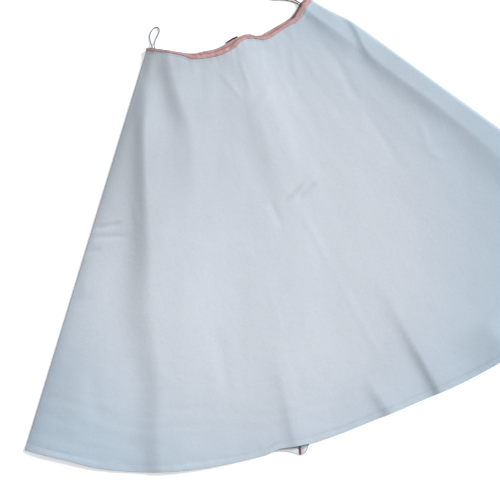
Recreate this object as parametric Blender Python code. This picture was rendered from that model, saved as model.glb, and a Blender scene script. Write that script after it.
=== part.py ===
"""A flared skirt laid flat, front up, as the pieces it is cut and sewn from.

The skirt is a sector of a ring. A place on it is an angle round the point where its side seams would meet, and a
distance down from the waist. Metres, +Z up, the waist towards +Y, the outline centred over the origin.
"""

import math
from collections import namedtuple

import bmesh
import bpy
import numpy as np

MM = 0.001

# Cut of the skirt
HALF_ANGLE = 33.4
WAIST_RADIUS = 316.5 * MM
POINT_Y = 666.1 * MM

# Cloth and trimmings
CLOTH = 1.2 * MM
STRIP = 0.8 * MM
LABEL = 0.5 * MM
GAP = 0.3 * MM
HEM_TURN = 10.0 * MM
HEM_STEP = 1.5 * MM
HEM_EXTRA = 0.7 * MM

# Inside of the back's waist
BACK_STRIP_MARGIN = 1.0 * MM
BACK_STRIP_WIDTH = 12.0 * MM

# Centre-back seam and the strip that binds it
SEAM_AT_WAIST = -2.2
SEAM_AT_HEM = -7.4
SEAM_LENGTH = 755.0 * MM
SEAM_STRIP_WIDTH = 5.0 * MM
SEAM_STRIP_FROM = 22.0 * MM
SEAM_STRIP_INSET = 1.0 * MM

# Blank label
LABEL_FROM = -4.9
LABEL_TO = 0.1
LABEL_ABOVE = 2.4 * MM
LABEL_BELOW = 9.0 * MM

# Hanger loops
CORD_RADIUS = 1.0 * MM
CORD_STEP = 4.5 * MM

# Mesh density
FRONT_COLUMNS = 66
FRONT_ROWS = 24
BACK_ROWS = 9
BACK_ROWS_CROWD = 1.8
STRIP_ROWS = 24
LABEL_COLUMNS = 8
COLUMN_STEP = 2.0

# Height of the front over the back
REST_HEIGHT = CLOTH + GAP
WAIST_STACK = 2.1 * MM
WAIST_STACK_ENDS = 45.0 * MM
LOOP_ROOM = 1.8 * MM
LOOP_ROOM_WIDTH = 20.0 * MM
SEAM_ROOM = 1.6 * MM
SEAM_ROOM_WIDTH = 75.0 * MM

# How the front rolls up from its side seams: height of the puff, its roll, and how far the seam holds the folds down
SideRoll = namedtuple("SideRoll", "puff roll hold")
LEFT_ROLL = SideRoll(4.4 * MM, 15.0 * MM, 11.0 * MM)
RIGHT_ROLL = SideRoll(2.0 * MM, 2.0 * MM, 2.4 * MM)
SIDE_PUFF_ENDS = 150.0 * MM

# A row for each place along the waist. Distances are down from the waist radius, in millimetres.
WaistRow = namedtuple("WaistRow", "angle front_edge front_strip back_edge")
WAIST = (
    WaistRow(-33.4, -1.6, 4.2, -6.0),
    WaistRow(-31.0, -1.8, 4.0, -8.2),
    WaistRow(-28.5, -2.4, 4.0, -8.8),
    WaistRow(-25.5, -2.2, 4.0, -8.8),
    WaistRow(-23.4, -1.4, 4.0, -7.6),
    WaistRow(-21.0, 0.6, 4.2, -6.6),
    WaistRow(-19.2, 2.6, 5.0, -5.4),
    WaistRow(-17.0, 3.6, 9.2, -5.2),
    WaistRow(-13.0, 3.4, 8.8, -8.2),
    WaistRow(-9.0, 1.4, 9.2, -10.0),
    WaistRow(-6.9, -0.4, 9.2, -13.0),
    WaistRow(-4.4, -4.6, 10.0, -17.0),
    WaistRow(-2.2, -9.0, 10.5, -20.6),
    WaistRow(0.4, -13.2, 6.6, -22.8),
    WaistRow(2.6, -13.0, 4.4, -23.6),
    WaistRow(4.8, -9.6, 4.2, -20.4),
    WaistRow(6.6, -4.4, 4.6, -13.0),
    WaistRow(8.4, -0.6, 6.8, -9.6),
    WaistRow(10.8, -0.6, 8.0, -10.0),
    WaistRow(13.5, -0.6, 6.4, -10.4),
    WaistRow(16.3, -1.4, 6.4, -9.8),
    WaistRow(18.6, -0.6, 6.6, -9.0),
    WaistRow(20.6, 0.2, 9.0, -8.4),
    WaistRow(22.6, -1.0, 9.8, -9.6),
    WaistRow(25.1, -5.0, 9.6, -13.6),
    WaistRow(28.0, -8.6, 8.6, -17.6),
    WaistRow(33.4, -10.0, 6.5, -18.0),
)

# A row for each place along the front's hem, in millimetres down from the waist radius.
HemRow = namedtuple("HemRow", "angle length")
HEM = (
    HemRow(-33.4, 774.0),
    HemRow(-30.0, 774.5),
    HemRow(-26.2, 779.0),
    HemRow(-22.5, 777.5),
    HemRow(-18.8, 773.0),
    HemRow(-15.0, 765.0),
    HemRow(-12.2, 758.5),
    HemRow(-10.4, 754.5),
    HemRow(-9.2, 748.5),
    HemRow(-7.4, 749.5),
    HemRow(-6.2, 749.0),
    HemRow(-3.4, 745.5),
    HemRow(0.8, 740.0),
    HemRow(5.0, 739.0),
    HemRow(9.3, 743.0),
    HemRow(13.6, 746.5),
    HemRow(20.0, 752.0),
    HemRow(27.0, 763.0),
    HemRow(33.4, 774.0),
)

# How far the back's hem reaches past the front's. It peeks out beside the centre-back seam.
PeekRow = namedtuple("PeekRow", "angle past_front")
PEEK = (
    PeekRow(-33.4, -5.0),
    PeekRow(-11.4, -5.0),
    PeekRow(-10.1, 0.0),
    PeekRow(-9.3, 4.0),
    PeekRow(-8.6, 7.0),
    PeekRow(-7.9, 11.5),
    PeekRow(-7.2, 16.5),
    PeekRow(-6.85, 13.5),
    PeekRow(-6.65, 7.5),
    PeekRow(-6.4, -3.0),
    PeekRow(-5.4, -5.0),
    PeekRow(33.4, -5.0),
)

# The right seam curves in over the hip towards the waist.
HipRow = namedtuple("HipRow", "down angle")
RIGHT_HIP = (
    HipRow(-20.0, 30.4),
    HipRow(20.0, 31.4),
    HipRow(57.0, 32.6),
    HipRow(80.0, 33.25),
    HipRow(115.0, 33.4),
    HipRow(800.0, 33.4),
)

# A large fold has a row for each place along its crest: millimetres down from the waist, the crest's angle and height,
# and the widths of its left and right sides. A round crest has a softness of 2, and a crisp one less.
Crest = namedtuple("Crest", "down angle height left right")
Fold = namedtuple("Fold", "name softness crest")
FOLDS = (
    Fold(
        "left_side",
        2.0,
        (
            Crest(-20.0, -30.8, 0.6, 16.0, 80.0),
            Crest(20.0, -30.3, 1.2, 20.0, 90.0),
            Crest(60.0, -29.6, 1.8, 24.0, 110.0),
            Crest(120.0, -28.9, 2.4, 30.0, 110.0),
            Crest(200.0, -28.4, 2.8, 34.0, 100.0),
            Crest(270.0, -28.0, 2.0, 36.0, 90.0),
            Crest(340.0, -28.0, 0.8, 36.0, 80.0),
            Crest(420.0, -28.0, 0.0, 36.0, 80.0),
        ),
    ),
    Fold(
        "long_left",
        2.0,
        (
            Crest(60.0, -29.4, 0.0, 18.0, 60.0),
            Crest(110.0, -28.6, 3.2, 18.0, 70.0),
            Crest(160.0, -27.8, 6.0, 17.0, 90.0),
            Crest(200.0, -26.9, 7.2, 19.0, 110.0),
            Crest(250.0, -25.9, 8.2, 22.0, 120.0),
            Crest(300.0, -24.9, 9.0, 26.0, 130.0),
            Crest(350.0, -24.1, 9.2, 29.0, 140.0),
            Crest(400.0, -23.5, 8.6, 32.0, 150.0),
            Crest(500.0, -22.5, 6.8, 40.0, 150.0),
            Crest(560.0, -21.7, 5.2, 36.0, 150.0),
            Crest(620.0, -21.0, 4.4, 28.0, 150.0),
            Crest(700.0, -20.8, 3.8, 28.0, 140.0),
            Crest(800.0, -20.2, 5.0, 26.0, 130.0),
        ),
    ),
    Fold(
        "left_waist",
        2.0,
        (
            Crest(-20.0, -25.2, 4.6, 24.0, 120.0),
            Crest(10.0, -24.4, 5.4, 24.0, 130.0),
            Crest(60.0, -21.6, 6.6, 26.0, 150.0),
            Crest(100.0, -19.5, 7.6, 28.0, 160.0),
            Crest(150.0, -17.5, 6.6, 34.0, 160.0),
            Crest(200.0, -17.0, 4.6, 42.0, 150.0),
            Crest(280.0, -16.6, 1.6, 44.0, 130.0),
            Crest(350.0, -16.6, 0.0, 44.0, 120.0),
        ),
    ),
    Fold(
        "label_rise",
        1.5,
        (
            Crest(-30.0, -1.0, 4.6, 60.0, 50.0),
            Crest(10.0, -1.0, 4.4, 60.0, 50.0),
            Crest(50.0, -1.1, 3.0, 56.0, 50.0),
            Crest(90.0, -1.2, 1.6, 50.0, 50.0),
            Crest(150.0, -1.2, 0.0, 40.0, 50.0),
        ),
    ),
    Fold(
        "middle_waist",
        2.0,
        (
            Crest(80.0, -1.6, 0.0, 24.0, 50.0),
            Crest(140.0, -1.2, 1.3, 24.0, 50.0),
            Crest(200.0, -1.0, 1.3, 24.0, 50.0),
            Crest(280.0, -1.4, 0.7, 24.0, 50.0),
            Crest(350.0, -2.0, 0.0, 24.0, 50.0),
        ),
    ),
    Fold(
        "right_hip",
        1.5,
        (
            Crest(-20.0, 26.0, 1.4, 10.0, 80.0),
            Crest(10.0, 26.6, 2.6, 12.0, 80.0),
            Crest(60.0, 27.8, 4.0, 17.0, 50.0),
            Crest(100.0, 28.2, 3.8, 22.0, 36.0),
            Crest(140.0, 28.6, 1.8, 25.0, 34.0),
            Crest(190.0, 29.2, 0.0, 25.0, 30.0),
        ),
    ),
    Fold(
        "right_side",
        1.5,
        (
            Crest(55.0, 34.0, 0.0, 7.0, 200.0),
            Crest(75.0, 33.2, 1.6, 7.0, 200.0),
            Crest(100.0, 31.7, 2.2, 7.0, 200.0),
            Crest(135.0, 29.6, 2.6, 9.0, 200.0),
            Crest(160.0, 29.0, 3.4, 14.0, 200.0),
            Crest(200.0, 29.2, 4.6, 19.0, 200.0),
            Crest(300.0, 29.9, 5.2, 21.0, 200.0),
            Crest(350.0, 30.0, 4.4, 20.0, 200.0),
            Crest(400.0, 30.1, 4.4, 25.0, 200.0),
            Crest(500.0, 29.8, 4.2, 34.0, 200.0),
            Crest(650.0, 29.6, 4.0, 36.0, 200.0),
            Crest(800.0, 29.4, 4.0, 34.0, 200.0),
        ),
    ),
    Fold(
        "hem_left",
        1.5,
        (
            Crest(560.0, -8.0, 0.0, 11.0, 44.0),
            Crest(640.0, -7.9, 0.9, 11.0, 44.0),
            Crest(700.0, -7.8, 1.6, 11.0, 44.0),
            Crest(800.0, -7.6, 2.6, 11.0, 44.0),
        ),
    ),
    Fold(
        "hem_middle",
        1.5,
        (
            Crest(665.0, 1.0, 0.0, 12.0, 60.0),
            Crest(700.0, 1.3, 2.2, 12.0, 60.0),
            Crest(740.0, 1.8, 3.6, 12.0, 60.0),
            Crest(800.0, 2.4, 4.4, 12.0, 60.0),
        ),
    ),
    Fold(
        "hem_right",
        1.5,
        (
            Crest(490.0, 6.5, 0.0, 16.0, 90.0),
            Crest(560.0, 6.8, 1.0, 14.0, 90.0),
            Crest(620.0, 6.85, 2.0, 10.5, 90.0),
            Crest(680.0, 7.0, 3.6, 10.0, 90.0),
            Crest(740.0, 7.1, 4.4, 10.0, 90.0),
            Crest(800.0, 7.1, 4.8, 10.0, 90.0),
        ),
    ),
    Fold(
        "hem_corner",
        1.5,
        (
            Crest(662.0, 14.6, 0.0, 44.0, 70.0),
            Crest(694.0, 14.8, 4.8, 46.0, 70.0),
            Crest(800.0, 15.0, 7.0, 46.0, 70.0),
        ),
    ),
    Fold(
        "hem_far",
        1.5,
        (
            Crest(620.0, 21.6, 0.0, 16.0, 60.0),
            Crest(700.0, 21.6, 2.2, 16.0, 60.0),
            Crest(800.0, 21.4, 3.6, 16.0, 60.0),
        ),
    ),
    Fold(
        "hem_last",
        1.5,
        (
            Crest(580.0, 26.2, 0.0, 18.0, 70.0),
            Crest(700.0, 26.4, 2.4, 18.0, 70.0),
            Crest(800.0, 26.8, 3.4, 18.0, 70.0),
        ),
    ),
)

# The loops' routes on the floor, x and y in millimetres, from one sewn end to the other.
LEFT_LOOP = (
    (-161.9, 394.0),
    (-161.8, 399.2),
    (-161.6, 405.5),
    (-161.4, 412.5),
    (-161.0, 420.5),
    (-158.8, 428.6),
    (-152.6, 436.4),
    (-145.6, 440.6),
    (-140.4, 439.8),
    (-138.0, 435.4),
    (-139.6, 430.0),
    (-144.4, 424.2),
    (-150.0, 417.8),
    (-154.6, 411.6),
    (-157.2, 405.4),
    (-158.2, 398.6),
    (-159.0, 393.0),
)
RIGHT_LOOP = (
    (138.7, 385.0),
    (134.9, 393.2),
    (132.6, 398.2),
    (129.2, 402.6),
    (122.6, 408.6),
    (113.5, 414.0),
    (101.5, 419.4),
    (91.0, 422.6),
    (84.4, 427.4),
    (84.0, 434.4),
    (89.6, 438.4),
    (97.6, 435.8),
    (107.6, 428.8),
    (117.6, 420.8),
    (126.6, 412.6),
    (132.6, 405.6),
    (136.2, 399.6),
    (138.3, 394.6),
    (141.9, 386.0),
)
LOOP_ROOTS = ((-160.4, 400.0), (137.4, 392.0))
LOOP_ROOT_HEIGHT = 3.7 * MM
LOOP_SEWN_IN = 11.0 * MM
LOOP_DROP = 9.0 * MM


def steady_slopes(places, values):
    """Slopes at the rows of a table for a smooth curve that never swings past them."""
    steps = np.diff(places)
    rises = np.diff(values) / steps
    slopes = np.zeros(len(values))
    for row in range(1, len(values) - 1):
        before, after = rises[row - 1], rises[row]
        if before * after > 0:
            slopes[row] = 2 * before * after / (before + after)
    slopes[0] = rises[0]
    slopes[-1] = rises[-1]
    return slopes


def curve_at(places, values, place):
    """Height of the smooth curve through a table's rows at a place, level past both ends."""
    places = np.asarray(places, float)
    values = np.asarray(values, float)
    slopes = steady_slopes(places, values)
    place = min(max(place, places[0]), places[-1])
    row = min(int(np.searchsorted(places, place, side="right")) - 1, len(places) - 2)
    width = places[row + 1] - places[row]
    t = (place - places[row]) / width
    start = (1 + 2 * t) * (1 - t) ** 2 * values[row] + t * (1 - t) ** 2 * width * slopes[row]
    finish = t * t * (3 - 2 * t) * values[row + 1] + t * t * (t - 1) * width * slopes[row + 1]
    return start + finish


def along_waist(column, angle):
    """A column of the waist table at an angle, in metres."""
    values = [getattr(row, column) for row in WAIST]
    return curve_at([row.angle for row in WAIST], values, angle) * MM


def hem_length(angle):
    """Distance of the front's hem below the waist radius."""
    return curve_at([row.angle for row in HEM], [row.length for row in HEM], angle) * MM


def back_hem_length(angle):
    """Distance of the back's hem below the waist radius."""
    past = curve_at([row.angle for row in PEEK], [row.past_front for row in PEEK], angle) * MM
    return hem_length(angle) + past


def left_side(down):
    """Angle of the left seam."""
    return -HALF_ANGLE


def right_side(down):
    """Angle of the right seam, which curves in over the hip."""
    return curve_at([row.down for row in RIGHT_HIP], [row.angle for row in RIGHT_HIP], down / MM)


def seam_angle(down):
    """Angle of the centre-back seam, which lies a little aslant."""
    share = min(max(down / SEAM_LENGTH, 0.0), 1.1)
    return SEAM_AT_WAIST + (SEAM_AT_HEM - SEAM_AT_WAIST) * share


def half_gap_angle(down):
    """Angle that half a seam's gap spans."""
    return math.degrees(GAP / 2 / (WAIST_RADIUS + down))


def left_of_seam(down):
    """Right edge of the back's left half."""
    return seam_angle(down) - half_gap_angle(down)


def right_of_seam(down):
    """Left edge of the back's right half."""
    return seam_angle(down) + half_gap_angle(down)


def on_floor(angle, down):
    """The x and y of a place on the skirt."""
    radius = WAIST_RADIUS + down
    turn = math.radians(angle)
    return radius * math.sin(turn), POINT_Y - radius * math.cos(turn)


def arc_between(angle, other, down):
    """Signed distance round the skirt from one angle to another."""
    return math.radians(angle - other) * (WAIST_RADIUS + down)


def ease(share):
    """Smooth step from 0 to 1."""
    share = min(max(share, 0.0), 1.0)
    return share * share * (3 - 2 * share)


def bump(distance, width, softness=2.0):
    """Hump that is 1 in its middle, round where its softness is 2 and crisper where it is less."""
    return math.exp(-((abs(distance) / width) ** softness))


def crest_at(fold, column, down):
    """A column of a fold's crest at a distance down."""
    places = [row.down for row in fold.crest]
    values = [getattr(row, column) for row in fold.crest]
    return curve_at(places, values, down / MM)


def fold_height(fold, angle, down):
    """Height that one fold adds at a place."""
    across = arc_between(angle, crest_at(fold, "angle", down), down)
    width = crest_at(fold, "left" if across < 0 else "right", down) * MM
    return crest_at(fold, "height", down) * MM * bump(across, width, fold.softness)


def rest_height(angle, down):
    """Lowest the front can lie, over what is sewn to the back."""
    x, y = on_floor(angle, down)
    loops = max(bump(math.hypot(x - a * MM, y - b * MM), LOOP_ROOM_WIDTH) for a, b in LOOP_ROOTS)
    waist = WAIST_STACK * (1 - ease(down / WAIST_STACK_ENDS))
    seam = SEAM_ROOM * bump(arc_between(angle, seam_angle(down), down), SEAM_ROOM_WIDTH)
    return REST_HEIGHT + max(waist, seam) + LOOP_ROOM * loops


def front_height(angle, down):
    """Height of the front's underside over the floor."""
    from_left = max(arc_between(angle, left_side(down), down), 0.0)
    from_right = max(arc_between(right_side(down), angle, down), 0.0)
    height = rest_height(angle, down)
    folds = sum(fold_height(fold, angle, down) for fold in FOLDS)
    for distance, side in ((from_left, LEFT_ROLL), (from_right, RIGHT_ROLL)):
        height += side.puff * (1 - math.exp(-distance / side.roll)) * bump(distance, SIDE_PUFF_ENDS)
        folds *= 1 - bump(distance, side.hold)
    return height + folds


def front_rows(angle):
    """Distances down the front at an angle, from the waist's edge to the hem's."""
    edge = along_waist("front_edge", angle)
    strip = edge + along_waist("front_strip", angle)
    hem = hem_length(angle)
    turn = hem - HEM_TURN
    rows = [edge]
    rows += [strip + (turn - HEM_STEP - strip) * k / FRONT_ROWS for k in range(FRONT_ROWS + 1)]
    rows += [turn, hem]
    return rows


def side_share(left, right, share, down):
    """Angle at a share of the way from a panel's left edge to its right one."""
    return left(down) + (right(down) - left(down)) * share


def closed_walls(lower, upper):
    """Bmesh of a wall from two matching grids of points, with its rim closed."""
    mesh = bmesh.new()
    columns = len(lower)
    rows = len(lower[0])
    low = [[mesh.verts.new(point) for point in column] for column in lower]
    high = [[mesh.verts.new(point) for point in column] for column in upper]
    for i in range(columns - 1):
        for j in range(rows - 1):
            mesh.faces.new((high[i][j], high[i][j + 1], high[i + 1][j + 1]))
            mesh.faces.new((high[i][j], high[i + 1][j + 1], high[i + 1][j]))
            mesh.faces.new((low[i][j], low[i + 1][j + 1], low[i][j + 1]))
            mesh.faces.new((low[i][j], low[i + 1][j], low[i + 1][j + 1]))
    for i in range(columns - 1):
        mesh.faces.new((low[i][0], high[i][0], high[i + 1][0], low[i + 1][0]))
        mesh.faces.new((low[i + 1][-1], high[i + 1][-1], high[i][-1], low[i][-1]))
    for j in range(rows - 1):
        mesh.faces.new((low[0][j + 1], high[0][j + 1], high[0][j], low[0][j]))
        mesh.faces.new((low[-1][j], high[-1][j], high[-1][j + 1], low[-1][j + 1]))
    return mesh


def lofted(sections):
    """Bmesh of a bar through closed sections of equal point counts, capped at both ends."""
    mesh = bmesh.new()
    rings = [[mesh.verts.new(point) for point in section] for section in sections]
    count = len(rings[0])
    for near, far in zip(rings, rings[1:]):
        for k in range(count):
            after = (k + 1) % count
            mesh.faces.new((near[k], near[after], far[after]))
            mesh.faces.new((near[k], far[after], far[k]))
    mesh.faces.new(rings[0][::-1])
    mesh.faces.new(rings[-1])
    return mesh


def named_object(name, mesh, material):
    """Object of a finished bmesh, faces out and smooth."""
    bmesh.ops.recalc_face_normals(mesh, faces=mesh.faces)
    data = bpy.data.meshes.new(name)
    mesh.to_mesh(data)
    mesh.free()
    data.materials.append(material)
    data.shade_smooth()
    data.set_sharp_from_angle(angle=math.radians(50))
    piece = bpy.data.objects.new(name, data)
    bpy.context.collection.objects.link(piece)
    return piece


def finish(name, colour, roughness):
    """Plain material of one cloth or trimming."""
    material = bpy.data.materials.new(name)
    material.use_nodes = True
    shader = material.node_tree.nodes["Principled BSDF"]
    shader.inputs["Base Color"].default_value = (*colour, 1.0)
    shader.inputs["Roughness"].default_value = roughness
    shader.inputs["Metallic"].default_value = 0.0
    return material


def front_shares():
    """Shares of the way across the front at which its columns run."""
    return [k / FRONT_COLUMNS for k in range(FRONT_COLUMNS + 1)]


def front_grid():
    """Lower and upper points of the front, a list for each column."""
    lower = []
    upper = []
    for share in front_shares():
        waist_angle = side_share(left_side, right_side, share, 0.0)
        hem_angle = side_share(left_side, right_side, share, SEAM_LENGTH)
        low = []
        high = []
        starts = front_rows(waist_angle)
        ends = front_rows(hem_angle)
        last = len(starts) - 1
        for row, (start, end) in enumerate(zip(starts, ends)):
            down = start + (end - start) * row / last
            angle = side_share(left_side, right_side, share, down)
            x, y = on_floor(angle, down)
            height = front_height(angle, down)
            turned = HEM_EXTRA if row >= last - 1 else 0.0
            low.append((x, y, height))
            high.append((x, y, height + CLOTH + turned))
        lower.append(low)
        upper.append(high)
    return lower, upper


def make_front(grid, material):
    """The front panel with its large folds and turned hem."""
    lower, upper = grid
    return named_object("front", closed_walls(lower, upper), material)


def make_front_binding(grid, material):
    """The strip over the front's waist edge, made from the front's points moved out."""
    lower, upper = grid
    sections = []
    for low, high in zip(lower, upper):
        edge_low, edge, inner = np.array(low[0]), np.array(high[0]), np.array(high[1])
        out = edge - inner
        out[2] = 0.0
        out /= np.linalg.norm(out)
        near = edge + out * GAP
        far = edge + out * (GAP + STRIP)
        under, over = GAP, GAP + STRIP
        sections.append(
            (
                (inner[0], inner[1], inner[2] + under),
                (inner[0], inner[1], inner[2] + over),
                (edge[0], edge[1], edge[2] + over),
                (far[0], far[1], edge[2] + over),
                (far[0], far[1], edge_low[2]),
                (near[0], near[1], edge_low[2]),
                (near[0], near[1], edge[2] + under),
                (edge[0], edge[1], edge[2] + under),
            )
        )
    return named_object("front_binding", lofted(sections), material)


def back_columns(first, last):
    """Hem angles of a back half's columns: even ones, and one at each row of the peek's table."""
    count = max(2, round((last - first) / COLUMN_STEP))
    angles = {round(first + (last - first) * k / count, 3) for k in range(count + 1)}
    angles |= {row.angle for row in PEEK if first < row.angle < last}
    angles |= {row.angle for row in WAIST if first < row.angle < last}
    kept = []
    for angle in sorted(angles):
        if not kept or angle - kept[-1] > 0.12:
            kept.append(angle)
    kept[-1] = last
    return kept


def make_back(name, left, right, material):
    """One half of the back, flat on the floor."""
    first = left(SEAM_LENGTH)
    last = right(SEAM_LENGTH)
    lower = []
    upper = []
    for hem_angle in back_columns(first, last):
        share = (hem_angle - first) / (last - first)
        waist_angle = side_share(left, right, share, 0.0)
        top = along_waist("back_edge", waist_angle)
        bottom = back_hem_length(hem_angle)
        low = []
        high = []
        for row in range(BACK_ROWS + 1):
            down = top + (bottom - top) * (row / BACK_ROWS) ** BACK_ROWS_CROWD
            x, y = on_floor(side_share(left, right, share, down), down)
            low.append((x, y, 0.0))
            high.append((x, y, CLOTH))
        lower.append(low)
        upper.append(high)
    return named_object(name, closed_walls(lower, upper), material)


def over_label(angle):
    """1 where the back's waist strip runs over the label and 0 well beside it."""
    inside = min(angle - LABEL_FROM, LABEL_TO - angle)
    return ease(1 + (inside + 0.4) / 0.9)


def make_back_binding(material):
    """The strip inside the back's waist edge, which runs over the label."""
    sections = []
    ends = math.degrees(BACK_STRIP_MARGIN / WAIST_RADIUS)
    first = left_side(0.0) + ends
    last = right_side(0.0) - ends
    for k in range(FRONT_COLUMNS + 1):
        angle = first + (last - first) * k / FRONT_COLUMNS
        edge = along_waist("back_edge", angle) + BACK_STRIP_MARGIN
        base = CLOTH + GAP + (LABEL + GAP) * over_label(angle)
        section = []
        for down, height in ((edge, base), (edge + BACK_STRIP_WIDTH, base)):
            x, y = on_floor(angle, down)
            section.append((x, y, height))
        for down, height in ((edge + BACK_STRIP_WIDTH, base + STRIP), (edge, base + STRIP)):
            x, y = on_floor(angle, down)
            section.append((x, y, height))
        sections.append(section)
    return named_object("back_binding", lofted(sections), material)


def make_seam_binding(material):
    """The strip that binds the centre-back seam, down to the hem."""
    start = SEAM_STRIP_FROM
    end = back_hem_length(SEAM_AT_HEM) - SEAM_STRIP_INSET
    sections = []
    for k in range(STRIP_ROWS + 1):
        down = start + (end - start) * k / STRIP_ROWS
        half = math.degrees(SEAM_STRIP_WIDTH / 2 / (WAIST_RADIUS + down))
        left = on_floor(seam_angle(down) - half, down)
        right = on_floor(seam_angle(down) + half, down)
        low = CLOTH + GAP
        high = low + STRIP
        sections.append(((*left, low), (*right, low), (*right, high), (*left, high)))
    return named_object("seam_binding", lofted(sections), material)


def make_label(material):
    """The blank label, held under the back's waist strip and standing just past the edge."""
    lower = []
    upper = []
    base = CLOTH + GAP
    for k in range(LABEL_COLUMNS + 1):
        angle = LABEL_FROM + (LABEL_TO - LABEL_FROM) * k / LABEL_COLUMNS
        edge = along_waist("back_edge", angle)
        near = on_floor(angle, edge - LABEL_ABOVE)
        far = on_floor(angle, edge + LABEL_BELOW)
        lower.append(((*near, base), (*far, base)))
        upper.append(((*near, base + LABEL), (*far, base + LABEL)))
    return named_object("label", closed_walls(lower, upper), material)


def smooth_route(points, step):
    """Evenly spaced points on a smooth curve through a loop's route."""
    points = [np.array(point, float) for point in points]
    padded = [2 * points[0] - points[1], *points, 2 * points[-1] - points[-2]]
    dense = []
    for before, near, far, after in zip(padded, padded[1:], padded[2:], padded[3:]):
        for t in np.linspace(0.0, 1.0, 12, endpoint=False):
            curve = 2 * near + (far - before) * t
            curve = curve + (2 * before - 5 * near + 4 * far - after) * t**2
            curve = curve + (3 * near - before - 3 * far + after) * t**3
            dense.append(curve / 2)
    dense.append(points[-1])
    dense = np.array(dense)
    reach = np.concatenate([[0.0], np.cumsum(np.linalg.norm(np.diff(dense, axis=0), axis=1))])
    places = np.linspace(0.0, reach[-1], max(3, round(reach[-1] / step) + 1))
    return np.stack([np.interp(places, reach, dense[:, axis]) for axis in range(dense.shape[1])], axis=1)


def loop_route(floor_points):
    """A loop's centreline: down from between the panels, then lying on the floor."""
    flat = smooth_route([(x * MM, y * MM) for x, y in floor_points], CORD_STEP)
    reach = np.concatenate([[0.0], np.cumsum(np.linalg.norm(np.diff(flat, axis=0), axis=1))])
    route = []
    for (x, y), place in zip(flat, reach):
        from_end = min(place, reach[-1] - place)
        low = CORD_RADIUS + 0.05 * MM
        height = low + (LOOP_ROOT_HEIGHT - low) * (1 - ease((from_end - LOOP_SEWN_IN) / LOOP_DROP))
        route.append((x, y, height))
    return route


def make_loop(name, floor_points, material):
    """One hanger loop as a round cord."""
    data = bpy.data.curves.new(name, "CURVE")
    data.dimensions = "3D"
    data.bevel_depth = CORD_RADIUS
    data.bevel_resolution = 2
    data.use_fill_caps = True
    route = loop_route(floor_points)
    spline = data.splines.new("POLY")
    spline.points.add(len(route) - 1)
    for point, place in zip(spline.points, route):
        point.co = (*place, 1.0)
    data.materials.append(material)
    piece = bpy.data.objects.new(name, data)
    bpy.context.collection.objects.link(piece)
    return piece


def main():
    """Builds the skirt."""
    for old in list(bpy.data.objects):
        bpy.data.objects.remove(old, do_unlink=True)
    cloth = finish("off_white_cloth", (0.74, 0.78, 0.82), 0.9)
    pink = finish("pink_strip", (0.66, 0.40, 0.37), 0.7)
    maroon = finish("seam_strip", (0.36, 0.17, 0.20), 0.8)
    cord = finish("loop_cord", (0.62, 0.62, 0.60), 0.6)
    dark = finish("dark_label", (0.05, 0.05, 0.06), 0.7)
    grid = front_grid()
    make_front(grid, cloth)
    make_back("back_left", left_side, left_of_seam, cloth)
    make_back("back_right", right_of_seam, right_side, cloth)
    make_front_binding(grid, pink)
    make_back_binding(pink)
    make_seam_binding(maroon)
    make_label(dark)
    make_loop("loop_left", LEFT_LOOP, cord)
    make_loop("loop_right", RIGHT_LOOP, cord)


main()
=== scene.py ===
"""Looks of a flared skirt laid flat, front up: its cloth, trimmings, sewing, light and camera.

A place on the skirt is an angle in degrees round the point where its side seams would meet, and a distance
in millimetres down from the waist's radius. Sizes are in millimetres, and meshes are written in metres in
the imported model's frame.
"""

import logging
import math
from dataclasses import dataclass, field
from enum import Enum
from typing import Callable, NamedTuple, Sequence

import bpy
import numpy as np
from mathutils import Matrix, Vector, noise


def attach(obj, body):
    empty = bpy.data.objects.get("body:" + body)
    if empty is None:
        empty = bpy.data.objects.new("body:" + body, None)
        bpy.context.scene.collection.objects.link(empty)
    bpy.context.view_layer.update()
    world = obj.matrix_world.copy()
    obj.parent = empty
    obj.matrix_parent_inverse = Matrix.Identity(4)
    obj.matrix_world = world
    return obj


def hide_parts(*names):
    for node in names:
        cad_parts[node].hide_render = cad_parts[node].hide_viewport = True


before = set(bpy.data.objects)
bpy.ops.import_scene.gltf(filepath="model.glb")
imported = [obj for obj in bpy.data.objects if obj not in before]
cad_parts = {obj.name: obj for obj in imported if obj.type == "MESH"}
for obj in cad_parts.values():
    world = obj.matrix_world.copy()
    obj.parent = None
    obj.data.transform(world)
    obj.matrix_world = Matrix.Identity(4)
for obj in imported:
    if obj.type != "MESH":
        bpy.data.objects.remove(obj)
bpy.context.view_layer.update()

LOG = logging.getLogger("flared_skirt")
MM = 0.001
BODY = "root"

Floats = float | np.ndarray
Point = tuple[float, float]
Triple = tuple[float, float, float]
Colour = tuple[float, float, float]
Places = tuple[np.ndarray, np.ndarray, np.ndarray, np.ndarray]
Shape = Callable[[np.ndarray, np.ndarray], Places]
Line = Callable[[np.ndarray], np.ndarray]
Material = bpy.types.Material
Piece = bpy.types.Object
Socket = bpy.types.NodeSocket


class Half(Enum):
    """The two halves of the back, seen from above."""

    LEFT = "left"
    RIGHT = "right"


class WaistRow(NamedTuple):
    """Edges at one place along the waist. Distances are down from the waist radius."""

    angle: float
    front_edge: float
    front_strip: float
    back_edge: float


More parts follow.
